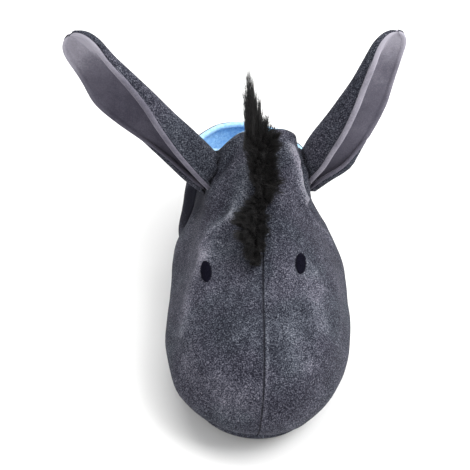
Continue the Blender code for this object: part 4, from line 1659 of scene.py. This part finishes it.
@dataclass
class Sole:
    """Foam sole wrapped in the plush, with a dotted textile underneath."""

    wardrobe: Wardrobe
    node: str = "sole"
    tread_tilt: float = -0.85
    raise_tread: float = 0.0005
    dot_pitch: float = 0.0075
    dot_radius: float = 0.0013
    dot_margin: float = 0.0055
    row_pitch: float = 0.87
    wrap_cloth: float = 0.0012
    tread_cloth: float = 0.0010

    def build(self) -> None:
        """Builds the wrapped side, the textile tread and its grip dots."""
        side = refined(cad_copy(self.node))
        side.normal_update()
        tread = side.copy()
        for bm, wanted in ((side, lambda face: face.normal.z > self.tread_tilt),
                           (tread, lambda face: face.normal.z <= self.tread_tilt)):
            bmesh.ops.delete(bm, geom=[face for face in bm.faces if not wanted(face)], context="FACES")
        for vert in tread.verts:
            vert.co.z += self.raise_tread
        tree = BVHTree.FromBMesh(tread)
        edge = np.array([vert.co for vert in tread.verts if vert.is_boundary])
        wrap = as_mesh("sole_wrap", side)
        piece("sole_wrap", wrap, self.wardrobe.plush, Slot.CLOTH, self.node, wall=self.wrap_cloth)
        under = as_mesh("sole_tread", tread)
        piece("sole_tread", under, self.wardrobe.textile, Slot.SOLE, wall=self.tread_cloth)
        piece("grip_dots", self._dots(tree, edge), self.wardrobe.grip, Slot.SOLE)

    def _dots(self, tread: BVHTree, edge: np.ndarray) -> Mesh:
        """Low round dots in staggered rows, inside the tread's edge.

        Args:
            tread: The textile under the sole.
            edge: Points of its edge.

        Returns:
            The mesh.
        """
        low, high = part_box(self.node)
        places = []
        rows = int((high.y - low.y) / (self.dot_pitch * self.row_pitch))
        for row in range(rows + 1):
            y = low.y + row * self.dot_pitch * self.row_pitch
            shift = 0.5 * (row % 2)
            count = int((high.x - low.x) / self.dot_pitch / 2) + 1
            for column in range(-count, count + 1):
                x = (column + shift) * self.dot_pitch
                hit, _, _, _ = tread.ray_cast(Vector((x, y, -0.1)), Vector((0.0, 0.0, 1.0)))
                if hit is not None and self._clear(hit, edge):
                    places.append(Matrix.Translation(hit))
        dot = bmesh.new()
        flat = Matrix.Diagonal((1, 1, self.raise_tread / self.dot_radius, 1))
        bmesh.ops.create_uvsphere(dot, u_segments=10, v_segments=6, radius=self.dot_radius, matrix=flat)
        return repeated("grip_dots", dot, places)

    def _clear(self, point: Vector, edge: np.ndarray) -> bool:
        """Whether a dot's place keeps its margin from the tread's edge."""
        return bool(np.linalg.norm(edge - np.array(point), axis=1).min() > self.dot_margin)


@dataclass
class Footbed:
    """Padded footbed in blue fleece."""

    wardrobe: Wardrobe
    node: str = "insole"
    dome: float = 0.0012
    lump: float = 0.0004
    lump_size: float = 0.012
    fill: float = 0.5

    def build(self) -> None:
        """Builds the pad."""
        bm = refined(cad_copy(self.node))
        low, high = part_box(self.node)
        half = (high - low) / 2
        middle = (low + high) / 2
        for vert in bm.verts:
            away = vert.co - middle
            reach = unit(math.hypot(away.x / half.x, away.y / half.y))
            if vert.normal.z > 0.5:
                lump = self.lump * noise.noise(vert.co / self.lump_size)
                vert.co.z += self.dome * (1 - reach**2) + lump
        made = piece("footbed", as_mesh("footbed", bm), self.wardrobe.lining, Slot.LINING, self.node)


# Studio


class Lamp(Enum):
    """Soft lights: place, aim, size in metres and power in watts."""

    KEY = ((0.75, -0.15, 1.15), (0.0, 0.0, 0.05), 0.8, 17.0)
    TOP = ((-0.10, 0.55, 1.30), (0.0, 0.0, 0.05), 1.2, 15.0)
    FRONT = ((-0.55, -1.10, 0.90), (0.0, -0.05, 0.06), 1.0, 3.5)


@dataclass
class Studio:
    """White floor, soft lights and the camera at the photograph's angle to the slipper."""

    camera_place: Point = (-0.0632, -0.5391, 0.5561)
    aim: Point = (-0.01727, -0.01993, 0.08500)
    roll: float = 5.96
    focal_length: float = 80.5
    sky_low: float = 0.25
    sky_high: float = 0.75
    horizon: float = 0.80
    zenith: float = 0.58

    def build(self) -> None:
        """Sets floor, world, lights and camera."""
        self._floor()
        self._world()
        for lamp in Lamp:
            self._light(lamp)
        self._camera()

    def _floor(self) -> None:
        """A wide plane under the slipper."""
        bm = bmesh.new()
        bmesh.ops.create_grid(bm, x_segments=1, y_segments=1, size=6.0)
        floor = linked("floor", as_mesh("floor", bm))
        floor.data.materials.append(PaleFloor().build())

    def _world(self) -> None:
        """Even white surroundings."""
        world = bpy.data.worlds.new("studio")
        world.use_nodes = True
        tree = world.node_tree
        sky = tree.nodes["Background"]
        sky.inputs["Color"].default_value = (1.0, 1.0, 1.0, 1.0)
        place = tree.nodes.new("ShaderNodeTexCoord")
        split = tree.nodes.new("ShaderNodeSeparateXYZ")
        fade = tree.nodes.new("ShaderNodeMapRange")
        for socket, value in enumerate((self.sky_low, self.sky_high, self.horizon, self.zenith), start=1):
            fade.inputs[socket].default_value = value
        tree.links.new(place.outputs["Generated"], split.inputs[0])
        tree.links.new(split.outputs["Z"], fade.inputs[0])
        tree.links.new(fade.outputs[0], sky.inputs["Strength"])
        bpy.context.scene.world = world

    def _light(self, lamp: Lamp) -> None:
        """One square soft light.

        Args:
            lamp: Which light.
        """
        place, aim, size, power = lamp.value
        light = bpy.data.lights.new(lamp.name.lower(), "AREA")
        light.size = size
        light.energy = power
        made = linked(lamp.name.lower(), light)
        made.location = place
        made.rotation_euler = (Vector(aim) - Vector(place)).to_track_quat("-Z", "Y").to_euler()

    def _camera(self) -> None:
        """The camera, rolled as the photograph is."""
        camera = bpy.data.cameras.new("camera")
        camera.sensor_width = 36.0
        camera.lens = self.focal_length
        camera.clip_start = 0.01
        made = linked("camera", camera)
        made.location = self.camera_place
        look = (Vector(self.aim) - made.location).to_track_quat("-Z", "Y").to_matrix()
        made.rotation_euler = (look @ Matrix.Rotation(math.radians(self.roll), 3, "Z")).to_euler()
        bpy.context.scene.camera = made
        bpy.context.scene.view_settings.view_transform = "Standard"


def main() -> None:
    """Dresses the slipper and sets the studio."""
    logging.basicConfig(level=logging.INFO, format="%(name)s %(message)s", stream=sys.stdout)
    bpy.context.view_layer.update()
    wardrobe = Wardrobe()
    shell = Head(wardrobe).build()
    for pose in EAR_POSES:
        Ear(wardrobe, pose).build(shell)
    Mane(wardrobe).build(shell)
    Eye(wardrobe, "eye_left", rise=0.0015).build(shell)
    Eye(wardrobe, "eye_right", rise=0.0030).build(shell)
    Sole(wardrobe).build()
    Footbed(wardrobe).build()
    Studio().build()


if __name__ == "__main__":
    main()
